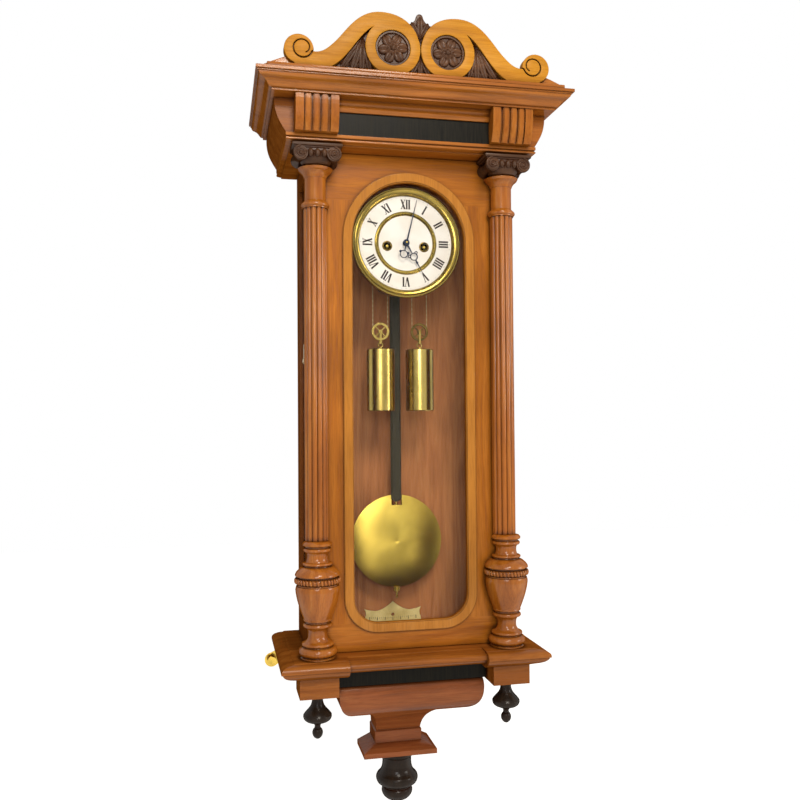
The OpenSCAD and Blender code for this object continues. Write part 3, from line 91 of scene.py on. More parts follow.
# %% Camera
eye = Vector((-306.6, -1502.9, -479.7)) * MM
yaw, pitch, roll = radians(12.211), radians(1.389), radians(-0.416)
ahead = Vector((sin(yaw) * cos(pitch), cos(yaw) * cos(pitch), sin(pitch)))
level = Vector((cos(yaw), -sin(yaw), 0))
upward = level.cross(ahead)
right = level * cos(roll) + upward * sin(roll)
above = upward * cos(roll) - level * sin(roll)
bpy.ops.object.camera_add(location=eye)
camera = bpy.context.object
camera.name = "camera"
camera.data.sensor_width = 36
camera.data.lens = 38.43
camera.data.clip_start = 0.05
axes = Matrix((right, above, -ahead)).transposed()
camera.matrix_world = Matrix.Translation(eye) @ axes.to_4x4()
scene = bpy.context.scene
scene.camera = camera
scene.view_settings.view_transform = "Standard"
bpy.ops.object.select_all(action="DESELECT")
print("camera at", eye)

# %% [markdown]
# Every finish below is a small tree of nodes. One helper adds a node with its settings, its
# plain values and its links, and one turns a hex colour, which is how a colour is picked off a
# photograph, into the linear values that a shader works in. The others are the few nodes that
# every finish repeats: noise with a grain in millimetres, a ramp of colours, a value mapped to a
# range, a sum, a rounded edge and a little relief.

# %% Helpers for finishes
def linear(hex_colour):
    """A #RRGGBB colour as linear red, green, blue and alpha."""
    values = [int(hex_colour[i:i + 2], 16) / 255 for i in (1, 3, 5)]
    line = [v / 12.92 if v <= 0.04045 else ((v + 0.055) / 1.055) ** 2.4 for v in values]
    return (*line, 1.0)


def wire(tree, node, links=None, inputs=None):
    """Give a node its plain input values, and its links from (node, output)."""
    for key, value in (inputs or {}).items():
        node.inputs[key].default_value = value
    for key, (source, output) in (links or {}).items():
        tree.links.new(source.outputs[output], node.inputs[key])
    return node


def add(tree, kind, links=None, inputs=None, **settings):
    """A new shader node of a kind, with its settings, links and input values."""
    node = tree.nodes.new("ShaderNode" + kind)
    for key, value in settings.items():
        setattr(node, key, value)
    return wire(tree, node, links, inputs)


def new_finish(name):
    """An empty material, its tree, its shader and the Object coordinates in it."""
    material = bpy.data.materials.new(name)
    material.use_nodes = True
    tree = material.node_tree
    tree.nodes.clear()
    shader = add(tree, "BsdfPrincipled")
    add(tree, "OutputMaterial", {"Surface": (shader, "BSDF")})
    return material, tree, shader, (add(tree, "TexCoord"), "Object")


def noise(tree, space, size_mm, detail, **more):
    """Noise over a space, a size in millimetres from one blot to the next."""
    inputs = {"Scale": 1000 / size_mm, "Detail": detail, **more}
    return add(tree, "TexNoise", {"Vector": space}, inputs), "Fac"


def tone(tree, value, stops):
    """A colour ramp over a value, from stops of (place, hex colour)."""
    ramp = add(tree, "ValToRGB", {"Fac": value})
    elements = ramp.color_ramp.elements
    while len(elements) > 1:
        elements.remove(elements[-1])
    elements[0].position, elements[0].color = stops[0][0], linear(stops[0][1])
    for place, colour in stops[1:]:
        elements.new(place).color = linear(colour)
    return ramp, "Color"


def span(tree, value, start, end, low, high):
    """A value that runs from start to end, mapped to run from low to high."""
    limits = {"From Min": start, "From Max": end, "To Min": low, "To Max": high}
    return add(tree, "MapRange", {"Value": value}, limits), "Result"


def sums(tree, operation, *terms):
    """One operation on terms, each a number or a (node, output)."""
    links = {i: term for i, term in enumerate(terms) if isinstance(term, tuple)}
    inputs = {i: term for i, term in enumerate(terms) if i not in links}
    return add(tree, "Math", links, inputs, operation=operation), "Value"


def rounded_edge(tree, radius_mm):
    """The normal of a surface whose sharp edges were eased by hand."""
    return add(tree, "Bevel", inputs={"Radius": radius_mm * MM}, samples=4), "Normal"


def relief(tree, height, strength, reach_mm, normal=None):
    """Small relief from a value, laid over another normal where there is one."""
    links = {"Height": height, "Normal": normal} if normal else {"Height": height}
    return add(tree, "Bump", links, {"Strength": strength, "Distance": reach_mm * MM}), "Normal"


# %% [markdown]
# Varnished walnut: boards cut along the grain, stained honey brown and French polished. Three
# things make it read as wood. The figure is broad bands, about a centimetre wide and drawn out
# along the grain. The pores are dark streaks under a millimetre wide and nearly two centimetres
# long. And age leaves dark wax in the quirks of every moulding and takes colour off the corners;
# the dark in the quirks is painted shade as well as wax, since it follows ambient occlusion.
# The first two are noise stretched along one axis. The third needs to know where the corners
# are: ambient occlusion finds the quirks, and a rounded normal that leaves the true one finds
# the corners.
# The same rounded normal also eases each sharp edge in the light by nearly a millimetre, as
# sandpaper does. Old polish is waxy and crazed, so at a glancing angle it doesn't mirror the
# room as new varnish would, and its shine fades there.

# %% Walnut
FIGURE_MM = 13
PORE_MM = 0.9
CLOUD_MM = 140
QUIRK_MM = 9
CORNER_MM = 0.9
# The colour of old wax, which also paints shade into the quirks.
WAX_AND_SHADE = "#3A1A08"
DOOR_RAILS = (-0.799, -0.128)


def along_grain(tree, place, grain, squeeze, rails):
    """Object space squeezed along the grain, which lies level beyond the heights of the rails."""
    scale = [squeeze if axis == grain else 1.0 for axis in "XYZ"]
    boards = add(tree, "Mapping", {"Vector": place}, {"Scale": scale}), "Vector"
    if rails is None:
        return boards
    level = add(tree, "Mapping", {"Vector": place}, {"Scale": (squeeze, 1, 1)}), "Vector"
    height = add(tree, "SeparateXYZ", {"Vector": place}), "Z"
    rail = sums(tree, "MAXIMUM", sums(tree, "LESS_THAN", height, rails[0]),
                sums(tree, "GREATER_THAN", height, rails[1]))
    return add(tree, "Mix", {"Factor": rail, 4: boards, 5: level}, data_type="VECTOR"), 1


def walnut(name, pale, mid, deep, grain="Z", wax_and_shade=0.75, gloss=0.24, figure=1.7, shine=0.17,
           rails=None):
    """French-polished walnut whose grain runs along X, Y or Z, and level in the rails."""
    material, tree, shader, place = new_finish(name)
    bands = noise(tree, along_grain(tree, place, grain, 0.085, rails), 2 * FIGURE_MM, 5,
                  Roughness=0.62, Distortion=1.6)
    pores = noise(tree, along_grain(tree, place, grain, 0.05, rails), 2 * PORE_MM, 2,
                  Roughness=0.6)
    spread = 0.2 * figure
    colour = tone(tree, bands, [(0.5 - spread, deep), (0.5, mid), (0.5 + spread, pale)])
    depth = sums(tree, "MULTIPLY", span(tree, pores, 0.36, 0.52, 0.84, 1.0),
                 span(tree, noise(tree, place, CLOUD_MM, 2), 0.3, 0.7, 0.84, 1.12))
    toned = add(tree, "VectorMath", {0: colour, "Scale": depth}, operation="SCALE"), "Vector"
    eased = rounded_edge(tree, CORNER_MM)
    true = add(tree, "NewGeometry"), "True Normal"
    turn = add(tree, "VectorMath", {0: eased, 1: true}, operation="DOT_PRODUCT"), "Value"
    corner = span(tree, turn, 0.99, 0.8, 0.0, 0.32)
    worn = add(tree, "Mix", {"Factor": corner, 6: toned}, {7: linear(pale)},
               data_type="RGBA"), 2
    # Painted shade and wax: wherever ambient occlusion finds a quirk, it is darkened towards the
    # wax colour.
    shade_ao = add(tree, "AmbientOcclusion", inputs={"Distance": QUIRK_MM * MM}, samples=4), "AO"
    quirk = span(tree, shade_ao, 0.86, 0.44, 0.0, wax_and_shade)
    waxed_and_shaded = add(tree, "Mix", {"Factor": quirk, 6: worn}, {7: linear(WAX_AND_SHADE)}, data_type="RGBA"), 2
    glance = add(tree, "LayerWeight", inputs={"Blend": 0.5}), "Facing"
    wire(tree, shader, {"Base Color": waxed_and_shaded, "Normal": relief(tree, pores, 0.08, 0.2, eased),
                        "Roughness": span(tree, bands, 0.3, 0.7, gloss + 0.08, gloss - 0.05),
                        "Specular IOR Level": span(tree, glance, 0.4, 0.7, shine, 0.0)})
    return material


upright_walnut = walnut("walnut upright", "#B6742C", "#9C5A1C", "#7A3E10", wax_and_shade=0.9, gloss=0.2)
door_walnut = walnut("walnut door", "#C27A2A", "#A4601A", "#7C400E", rails=DOOR_RAILS)
level_walnut = walnut("walnut level", "#AC6A2C", "#90521C", "#6A3610", grain="X", wax_and_shade=0.85)
apron_walnut = walnut("walnut apron", "#A46436", "#8A4C28", "#603418", grain="X", wax_and_shade=0.85)
cornice_walnut = walnut("walnut cornice", "#BE7A32", "#A4601E", "#7C4212", grain="X", wax_and_shade=0.85,
                        gloss=0.16, shine=0.25)
turned_walnut = walnut("walnut turned", "#C07C32", "#A25C1A", "#743A0E", wax_and_shade=0.95, gloss=0.14,
                       shine=0.3)
crest_walnut = walnut("walnut crest", "#C68E38", "#B67A22", "#965C18", grain="X", wax_and_shade=0.9,
                      gloss=0.36, shine=0.08)
bead_walnut = walnut("walnut bead", "#BE8038", "#B0722A", "#9A5E1E", wax_and_shade=0.98, gloss=0.18,
                     figure=2.2)
back_walnut = walnut("walnut back board", "#BE8450", "#AA6E40", "#844E2A", gloss=0.45,
                     figure=1.5)
side_walnut = walnut("walnut sides", "#9A5C26", "#824819", "#603210")
carved_walnut = walnut("walnut carved", "#6E4A30", "#4C3220", "#2E1E13", grain="X", wax_and_shade=0.9,
                       gloss=0.3)
drop_walnut = walnut("walnut drops", "#382C22", "#261D16", "#17110D", gloss=0.18, shine=0.12)
print("walnut finishes made")

# %% [markdown]
# The other finishes. Ebonised pear is wood stained black, so its grain shows only in the gloss.
# Brass here is lacquered and a little olive, with cloudy patches where the lacquer has aged;
# the bob was spun on a lathe, so its light stretches across the rings, and the weights are tubes.
# Vitreous enamel is white glass on copper, smooth under a clear gloss. Each one is a metal,
# a glass or a paint by its numbers, with noise at a real size for what isn't even. Gut is
# twisted sheep's gut, a matt straw-coloured cord with a visible lay: dark lines wind round it
# about every two millimetres.

# %% Ebony, metals, enamel, glass and gut
def ebonised(name, dark="#0C0B08", light="#1B1810"):
    """Black-stained pear, satin, with faint long grain in its gloss."""
    material, tree, shader, place = new_finish(name)
    fine = add(tree, "Mapping", {"Vector": place}, {"Scale": (1, 1, 0.06)}), "Vector"
    pores = noise(tree, fine, 2.4, 3)
    wire(tree, shader, {"Base Color": tone(tree, pores, [(0.3, dark), (0.7, light)]),
                        "Roughness": span(tree, pores, 0.3, 0.7, 0.28, 0.42),
                        "Normal": rounded_edge(tree, 0.6)}, {"Specular IOR Level": 0.08})
    return material


def metal(name, bright, dull, polish=0.2, patch_mm=18, stretch=(1, 1, 1), spun=0.0, bare=1.0):
    """A polished metal with clouded lacquer in patches; what isn't bare scatters as paint does."""
    material, tree, shader, place = new_finish(name)
    drawn = add(tree, "Mapping", {"Vector": place}, {"Scale": stretch}), "Vector"
    patches = noise(tree, drawn, 2 * patch_mm, 4, Roughness=0.6)
    grain = relief(tree, noise(tree, drawn, 1.5, 2), 0.05, 0.1, rounded_edge(tree, 0.3))
    wire(tree, shader, {"Base Color": tone(tree, patches, [(0.32, dull), (0.6, bright)]),
                        "Roughness": span(tree, patches, 0.3, 0.7, polish + 0.12, polish),
                        "Normal": grain}, {"Metallic": bare})
    if spun:
        axis = add(tree, "Tangent", direction_type="RADIAL", axis="Y"), "Tangent"
        wire(tree, shader, {"Tangent": axis}, {"Anisotropic": spun})
    return material


def enamel(name, white):
    """Vitreous enamel: white glass, faintly uneven, under a clear gloss."""
    material, tree, shader, place = new_finish(name)
    ripple = noise(tree, place, 30, 2)
    wire(tree, shader, {"Base Color": tone(tree, ripple, [(0.3, "#DDD6CA"), (0.65, white)]),
                        "Normal": relief(tree, ripple, 0.06, 0.3)},
         {"Roughness": 0.16, "Coat Weight": 0.5})
    return material


def window_glass(name):
    """Drawn glass seen through: only its mirror image of the room, by Fresnel's law."""
    material, tree, shader, place = new_finish(name)
    facing = add(tree, "Fresnel", inputs={"IOR": 1.45}), "Fac"
    inner = add(tree, "NewGeometry"), "Backfacing"
    share = sums(tree, "MULTIPLY", facing, span(tree, inner, 0.0, 1.0, 0.32, 0.0))
    wave = relief(tree, noise(tree, place, 90, 1), 0.05, 0.4)
    wire(tree, shader, {"Alpha": share, "Normal": wave},
         {"Base Color": linear("#F2F6F4"), "Metallic": 1, "Roughness": 0.03})
    return material


def gut_cord(name):
    """Twisted gut with its lay as slanting bands."""
    material, tree, shader, place = new_finish(name)
    lay = add(tree, "TexWave", {"Vector": place}, {"Scale": 1000 / 2 / tau, "Distortion": 1.0},
              bands_direction="DIAGONAL"), "Fac"
    wire(tree, shader, {"Base Color": tone(tree, lay, [(0.2, "#8D7B50"), (0.7, "#C9B888")])},
         {"Roughness": 0.7})
    return material


ebony = ebonised("ebonised pear")
worn_black = ebonised("worn black stain", "#36322A", "#464130")
brass = metal("lacquered brass", "#CDAE50", "#9E843C")
bezel_brass = metal("polished bezel brass", "#96803C", "#6E5E2A", 0.16, patch_mm=30)
weight_brass = metal("weight brass", "#B8A056", "#857036", patch_mm=14, stretch=(1, 1, 0.25))
# Darker brass: the winding collars' own age, and painted shade on the going pulley, which hangs in
# shadow.
aged_and_shaded_brass = metal("aged and shaded brass", "#6E5A2C", "#3E3218", 0.28, patch_mm=6)
bob_brass = metal("spun bob brass", "#B89E44", "#8C7832", 0.34, patch_mm=40, spun=0.6)
scale_brass = metal("pale scale brass", "#E6D690", "#C4B068", 0.42, bare=0.35)
steel = metal("polished steel", "#B9BDC1", "#7E8388", 0.22)
blued = metal("blued steel", "#2A3040", "#15181F", 0.3)
iron = metal("blackened iron", "#3A3A38", "#1E1E1D", 0.5)
white_enamel = enamel("vitreous enamel", "#E6E2DA")
glass = window_glass("drawn window glass")
gut = gut_cord("twisted gut")
print("metals, enamel, glass and gut made")

# %% [markdown]
# Now each piece of the frame takes its finish, and what isn't named is brass. Level boards have
# their grain along X, stiles and columns along Z. The nodes that a carved piece stands for
# further on aren't seen, so they aren't named either.

# %% Finishes on the frame
wearers = (
    (back_walnut, "back_board"), (side_walnut, "side_frames"), (door_walnut, "door_frame"),
    (cornice_walnut, "head_board cornice"), (upright_walnut, "frieze_consoles"),
    (level_walnut, "frieze_box base_shelf corner_blocks"), (bead_walnut, "opening_bead"),
    (turned_walnut, "column_shafts"), (drop_walnut, "drop_finials"),
    (ebony, "frieze_panel base_band"), (worn_black, "pendulum_rod"),
    (iron, "movement_bracket gong_block"), (blued, "gong_coil minute_hand hour_hand"),
    (steel, "anchor strike_hammer suspension_spring"), (scale_brass, "beat_plate"),
    # The going pulley's darker brass is painted shade.
    (bob_brass, "pendulum_bob"), (aged_and_shaded_brass, "going_pulley"),
    (weight_brass, "strike_pulley going_weight strike_weight"),
    (white_enamel, "dial_enamels"), (glass, "door_glass side_glasses"),
)
finish_of = {name: finish for finish, names in wearers for name in names.split()}
for name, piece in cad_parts.items():
    piece.data.materials.clear()
    piece.data.materials.append(finish_of.get(name, brass))
print("finishes set on", len(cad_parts), "nodes")

# %% [markdown]
# The helpers for carving are few. One joins parts into a piece, puts its place into its mesh and
# says which body it rides on. One lays a copy of a part under a matrix, because what repeats,
# such as a petal or a bead, is modelled once. One makes a flat board from its outline with
# softly rounded arrises, as a fretsaw and a file do. The dial, the crest and the capitals all
# face the room, so their outlines are drawn in X and Z and pushed along Y. The rest are a tube
# along a line, a skin over rings of points, and a ball, a drum and a block to start from.

# %% Helpers for shapes
move = Matrix.Translation


def turned(angle, axis="Y"):
    """A turn by an angle in degrees."""
    return Matrix.Rotation(radians(angle), 4, axis)


FACE_ROOM = turned(90, "X")


def select_only(parts):
    """Select these objects and no others; the first is the active one."""
    bpy.ops.object.select_all(action="DESELECT")
    for part in parts:
        part.select_set(True)
    bpy.context.view_layer.objects.active = parts[0]


def settle():
    """Put the place, turn and size of the active object into its mesh."""
    bpy.ops.object.transform_apply(location=True, rotation=True, scale=True)
    return bpy.context.object


def new_object(data):
    """An object for a mesh or a curve, in the scene and selected."""
    made = bpy.data.objects.new(data.name, data)
    bpy.context.collection.objects.link(made)
    select_only([made])
    return made


def edit(part, *steps):
    """Run steps of mesh operators on all of a part."""
    select_only([part])
    bpy.ops.object.mode_set(mode="EDIT")
    for step in steps:
        bpy.ops.mesh.select_all(action="SELECT")
        step()
    bpy.ops.object.mode_set(mode="OBJECT")
    return part


def weld():
    """Join double points and turn the faces outwards."""
    bpy.ops.mesh.remove_doubles(threshold=0.00001)
    bpy.ops.mesh.normals_make_consistent(inside=False)


def make_piece(name, parts, body, finish, smooth=35):
    """Join parts into one piece at the origin, with its finish and the body it rides on."""
    select_only(parts)
    if len(parts) > 1:
        bpy.ops.object.join()
    piece = settle()
    piece.name = name
    piece.data.name = name
    piece.data.materials.clear()
    piece.data.materials.append(finish)
    bpy.ops.object.shade_smooth_by_angle(angle=radians(smooth))
    piece.select_set(False)
    if body:
        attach(piece, body)
    print(name, len(piece.data.polygons), "faces")
    return piece


def lay_copies(part, places):
    """Copies of a part under each matrix; the part itself is removed."""
    made = []
    for place in places:
        twin = part.copy()
        twin.data = part.data.copy()
        bpy.context.collection.objects.link(twin)
        twin.data.transform(place @ part.matrix_world)
        twin.matrix_world = Matrix.Identity(4)
        made.append(twin)
    bpy.data.objects.remove(part)
    return made


def polyline(curve, points):
    """A line of straight steps in a curve."""
    spline = curve.splines.new("POLY")
    spline.points.add(len(points) - 1)
    for point, place in zip(spline.points, points):
        point.co = (*place, 1)
    return spline


def flat_board(outlines, front, back, arris):
    """A board with outlines in X and Z, in millimetres, holes included, and soft arrises."""
    drawing = bpy.data.curves.new("outline", "CURVE")
    drawing.dimensions = "2D"
    drawing.fill_mode = "BOTH"
    drawing.extrude = abs(front - back) / 2 - arris * MM
    drawing.bevel_depth = arris * MM
    drawing.bevel_resolution = 2
    drawing.offset = -arris * MM
    for points in outlines:
        polyline(drawing, [(x * MM, z * MM, 0) for x, z in points]).use_cyclic_u = True
    board = new_object(drawing)
    board.matrix_world = move((0, (front + back) / 2, 0)) @ FACE_ROOM
    bpy.ops.object.convert(target="MESH")
    return edit(settle(), weld)


def tube(points, radii, capped=False):
    """A round tube along points, all in metres, with a radius at each."""
    line = bpy.data.curves.new("tube", "CURVE")
    line.dimensions = "3D"
    line.bevel_depth = 1.0
    line.bevel_resolution = 3
    line.use_fill_caps = capped
    for point, radius in zip(polyline(line, points).points, radii):
        point.radius = radius
    new_object(line)
    bpy.ops.object.convert(target="MESH")
    return bpy.context.object


def skin(rings, capped=False):
    """A surface over rings of points in metres, each ring with as many points."""
    count, last = len(rings[0]), len(rings) - 1
    faces = [(k + i, k + (i + 1) % count, k + count + (i + 1) % count, k + count + i)
             for k in range(0, last * count, count) for i in range(count)]
    if capped:
        faces += [tuple(range(count)), tuple(range(last * count, (last + 1) * count))]
    mesh = bpy.data.meshes.new("skin")
    mesh.from_pydata([point for ring in rings for point in ring], [], faces)
    return new_object(mesh)


def ball(x, y, z, rx, ry, rz, segments=20):
    """A stretched ball, in millimetres but for its depth."""
    bpy.ops.mesh.primitive_uv_sphere_add(segments=segments, ring_count=segments // 2 + 2,
                                         radius=1, location=(x * MM, y, z * MM),
                                         scale=(rx * MM, ry * MM, rz * MM))
    return settle()


def drum(x, front, back, z, radius, vertices=40):
    """A cylinder along Y from its front to its back, the rest in millimetres."""
    bpy.ops.mesh.primitive_cylinder_add(vertices=vertices, radius=radius * MM,
                                        depth=abs(back - front), rotation=(pi / 2, 0, 0),
                                        location=(x * MM, (front + back) / 2, z * MM))
    return settle()


def block(x0, x1, y0, y1, z0, z1, soft):
    """A block between places, X and Z in millimetres, with softened edges."""
    bpy.ops.mesh.primitive_cube_add(size=1, location=((x0 + x1) / 2 * MM, (y0 + y1) / 2,
                                                      (z0 + z1) / 2 * MM),
                                    scale=((x1 - x0) * MM, y1 - y0, (z1 - z0) * MM))
    return edit(settle(), lambda: bpy.ops.mesh.bevel(offset=soft * MM, segments=3,
                                                     affect="EDGES"))


def bend(p, q, r, s, n=12):
    """Points along a cubic curve, without its last."""
    made = []
    for i in range(n):
        t = i / n
        u = 1 - t
        weights = (u ** 3, 3 * u * u * t, 3 * u * t * t, t ** 3)
        made.append(tuple(sum(w * c for w, c in zip(weights, axis)) for axis in zip(p, q, r, s)))
    return made


def ring_points(x, z, r, n=64):
    """Points round a circle."""
    return [(x + r * cos(tau * i / n), z + r * sin(tau * i / n)) for i in range(n)]


def ring_arc(x, z, r, start, end, n=40):
    """Points on an arc, in degrees from start to end."""
    turns = [radians(start + (end - start) / n * i) for i in range(n + 1)]
    return [(x + r * cos(a), z + r * sin(a)) for a in turns]


def mirrored(points):
    """The same outline on the left side."""
    return [(-x, z) for x, z in reversed(points)]


# %% [markdown]
# The figures on the dial are fired into the enamel in a warm black. Each is made of thick and
# thin strokes that stand on a line towards the centre, so a figure is written once, as strokes in
# its own small frame, and turned into its place. A stroke is a cube, scaled to a sliver that
# stands three hundredths of a millimetre proud of the enamel, as the fired colour does.

# %% Figures on the dial
FIGURE_IN = 56.5
FIGURE_OUT = 71.5
THICK, THIN, SERIF = 2.8, 1.2, 0.9
SERIF_HALF = 1.7
INK_PROUD = 0.06 * MM
LETTER_WIDTH = {"I": 4.1, "V": 8.6, "X": 8.4}
STROKES = {"I": ((0, 0, THICK),), "V": ((0, -2.9, THICK), (0.4, 3.0, THIN)),
           "X": ((2.6, -2.6, THICK), (-2.6, 2.6, THIN))}
HOURS = ["XII", "I", "II", "III", "IIII", "V", "VI", "VII", "VIII", "IX", "X", "XI"]
DOT_RING = 74.9


def stroke(x0, z0, x1, z1, width):
    """A thin raised bar between two points of a figure, in millimetres."""
    bpy.ops.mesh.primitive_cube_add(size=1)
    bar = bpy.context.object
    bar.scale = (width * MM, INK_PROUD, hypot(x1 - x0, z1 - z0) * MM)
    bar.rotation_euler.y = atan2(x1 - x0, z1 - z0)
    bar.location = ((x0 + x1) / 2 * MM, 0, (z0 + z1) / 2 * MM)
    return settle()


def figure(letters):
    """A roman figure on its inner end: strokes from an inner to an outer place, and serifs."""
    at = -sum(LETTER_WIDTH[letter] for letter in letters) / 2
    bars = []
    for letter in letters:
        x = at + LETTER_WIDTH[letter] / 2
        at += LETTER_WIDTH[letter]
        for inner, outer, width in STROKES[letter]:
            bars.append(stroke(x + inner, FIGURE_IN, x + outer, FIGURE_OUT, width))
            feet = [(x + outer, FIGURE_OUT)]
            if letter != "V":
                feet.append((x + inner, FIGURE_IN))
            bars += [stroke(foot - SERIF_HALF, z, foot + SERIF_HALF, z, SERIF)
                     for foot, z in feet]
    select_only(bars)
    bpy.ops.object.join()
    return bpy.context.object


ink, tree, shader, place = new_finish("fired black")
uneven = noise(tree, place, 3, 2)
wire(tree, shader, {"Base Color": tone(tree, uneven, [(0.3, "#1C1512"), (0.7, "#30241D")])},
     {"Roughness": 0.4, "Specular IOR Level": 0.2})

on_dial = move((0, enamel_face, dial.z))
figures = []
for hour, letters in enumerate(HOURS):
    figures += lay_copies(figure(letters), [on_dial @ turned(30 * hour)])
dots = [on_dial @ turned(6 * minute) @ move((0, 0, DOT_RING * MM))
        @ Matrix.Scale(1 if minute % 5 else 1.5, 4) for minute in range(60)]
dot = drum(0, -INK_PROUD / 2, INK_PROUD / 2, 0, 0.4, 10)
make_piece("dial_figures", figures + lay_copies(dot, dots), "case", ink)

# %% [markdown]
# The crest is sawn from a pale board. Two scrolls meet back to back: each grows out of a ring,
# sweeps down and curls up again into a volute. A spiral quirk starts in the inner notch, runs in
# under the eye of the volute and up its far side. The board is two layers here: the back one is
# whole, and the outline of the front one follows the quirk in and out again, so that it shows as
# a real cut with rounded lips.

# %% Crest scrolls
top_z = cornice_high.z / MM
RING_R, RECESS_R = 42.5, 27
RING_X, RING_UP = RING_R + 0.4, RING_R + 0.3
VOLUTE, VOLUTE_R = (185, 29.5), 22
EYE, EYE_R = (179.5, 31.5), 15.9
BAND_TOP = 96
FACE_LAYER = 4 * MM
QUIRK_WIDTH = 2.4


def lifted(points):
    """Outline points measured from the top of the cornice, in the clock's frame."""
    return [(x, z + top_z) for x, z in points]


def quirk_wall(t, width):
    """A point on a wall of the spiral quirk, which runs in under the eye and up its far side."""
    a = radians(196 + 400 * t)
    r = EYE_R - 2.2 * t - 5 * t ** 3 - width * (1 - 0.4 * t)
    return EYE[0] + r * cos(a), EYE[1] + r * sin(a)


upper = (bend((4.5, 62), (12, 82), (30, BAND_TOP), (60, BAND_TOP), 14)
         + bend((60, BAND_TOP), (97, BAND_TOP), (114, 62), (131, 45), 14)
         + bend((131, 45), (142, 34), (150, 26.5), (163.2, 27), 8))
quirk = ([quirk_wall(i / 40, 0) for i in range(41)]
         + [quirk_wall(i / 40, QUIRK_WIDTH) for i in range(40, -1, -1)])
lower = (bend((150, 0.3), (122, 10), (108, 36), (94, 53), 12)
         + bend((94, 53), (86, 63), (80, 68), (73.5, 72.5), 6))
rest = (ring_arc(*VOLUTE, VOLUTE_R, 181, -70) + [(188, 0.3)] + lower
        + ring_arc(RING_X, RING_UP, RING_R, 44, -205, 60))
recess = ring_points(RING_X, RING_UP, RECESS_R)
layers = ((upper + quirk + rest, crest_low.y, crest_low.y + FACE_LAYER, 0.9),
          (upper + rest, crest_low.y + FACE_LAYER, crest_high.y, 0.6))
crest_parts = [flat_board([lifted(hand(outline)), lifted(hand(recess))], front, back, arris)
               for hand in (list, mirrored) for outline, front, back, arris in layers]
scrolls = make_piece("carved_scrolls", crest_parts, "case", crest_walnut)
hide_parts("crest_scrolls")

# %% [markdown]
# A carved leaf is a long swelling form with a groove down its middle. A sphere is a good start:
# it is stretched to the leaf's length, pinched towards the tip, and the vertices near its midline
# are pushed back to cut the groove. The same leaf, in other sizes, makes the fans beside the
# rings, the palmette between them and the petals of the rosettes.

# %% A carved leaf
def leaf(length, width, thick, groove=0.5, tip=0.75, foot=0.0, segments=20, rings=12):
    """A grooved leaf from the origin up Z, its face towards the room, in millimetres."""
    bpy.ops.mesh.primitive_uv_sphere_add(segments=segments, ring_count=rings, radius=0.5)
    blade = bpy.context.object
    for vertex in blade.data.vertices:
        x, y, z = vertex.co
        t = z + 0.5
        narrow = (1 - tip * t ** 3) * (1 - foot * (1 - t) ** 2)
        across = x * 2 / max((1 - (2 * t - 1) ** 2) ** 0.5, 0.05)
        cut = groove * max(0.0, 1 - (across / 0.4) ** 2) if y < 0 else 0
        vertex.co = (x * width * narrow * MM, (y * thick + cut * thick / 2) * MM, t * length * MM)
    return blade


def leaf_at(x, z, y, angle, length, width, thick, **more):
    """A leaf with its foot at a place, leaning right by an angle in degrees."""
    place = move((x * MM, y, z * MM)) @ turned(angle)
    return lay_copies(leaf(length, width, thick, **more), [place])[0]


# %% [markdown]
# Dark leaf carving fills the ground of the crest. A thin board closes the triangles. Four broad
# leaves spring from the narrow top of each triangle and fan down over it, each with a pair of
# lobes near its round tip, so that small hollows stay between them. A tent-shaped fan with a knob
# and a palmette stands between the rings. The cornice's own top strip stands in front of it all
# and hides the feet, and outside each volute a plain wedge of the cornice's wood runs out to
# nothing.

# %% Leaf carving of the crest
SPRING = (88, 58)
FAN_TIPS = ((77, 4, 12), (91, 3, 13), (106, 3, 13), (124, 3, 12))
LOBE_AT = 0.68
PALMETTE = ((60, 0.5, 0.6, ((0, 36, 13), (-26, 30, 11), (26, 30, 11))),
            (33, 1.0, 0.7, ((180, 31, 11), (152, 32, 11), (208, 32, 11))))
STRIP_OUT, STRIP_HIGH = 232, 5.5
carve_y = crest_low.y + 5 * MM
ground_back = crest_high.y - 1 * MM
ground = [(66, 0.3), (60, 70)] + bend((74, 71), (90, 60), (106, 40), (124, 14), 8) + [(152, 0.3)]
middle = [(-RING_R, 0.3), (RING_R, 0.3), (0, 60)]
half_fan = [(13, 58), (20, 72), (20, 83)] + bend((20, 83), (12, 85), (8, 89), (5.5, 94.5), 6)
fan = half_fan + ring_arc(0, 95.5, 5.4, 0, 180, 16) + mirrored(half_fan)
carving = [flat_board([lifted(points)], carve_y + 3 * MM, ground_back, 0.4)
           for points in (ground, mirrored(ground), middle)]
carving.append(flat_board([lifted(fan)], carve_y + 1.5 * MM, ground_back, 0.8))
for tip_x, tip_z, width in FAN_TIPS:
    reach_x, reach_z = tip_x - SPRING[0], tip_z - SPRING[1]
    angle = degrees(atan2(reach_x, reach_z))
    lobe_x, lobe_z = SPRING[0] + LOBE_AT * reach_x, SPRING[1] + LOBE_AT * reach_z
    for hand in (1, -1):
        carving.append(leaf_at(hand * SPRING[0], SPRING[1] + top_z, carve_y + 1 * MM,
                               hand * angle, hypot(reach_x, reach_z), width, 8, tip=0.1,
                               foot=0.75))
        carving += [leaf_at(hand * lobe_x, lobe_z + top_z, carve_y + 2 * MM,
                            hand * (angle + lean), 13, 6, 6, tip=0.2) for lean in (-32, 32)]
for up, inward, foot, blades in PALMETTE:
    carving += [leaf_at(0, top_z + up, carve_y + inward * MM, angle, length, width, 7, tip=0.1,
                        foot=foot) for angle, length, width in blades]
leaves = make_piece("crest_leaves", carving, "case", carved_walnut, smooth=50)
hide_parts("crest_carving")

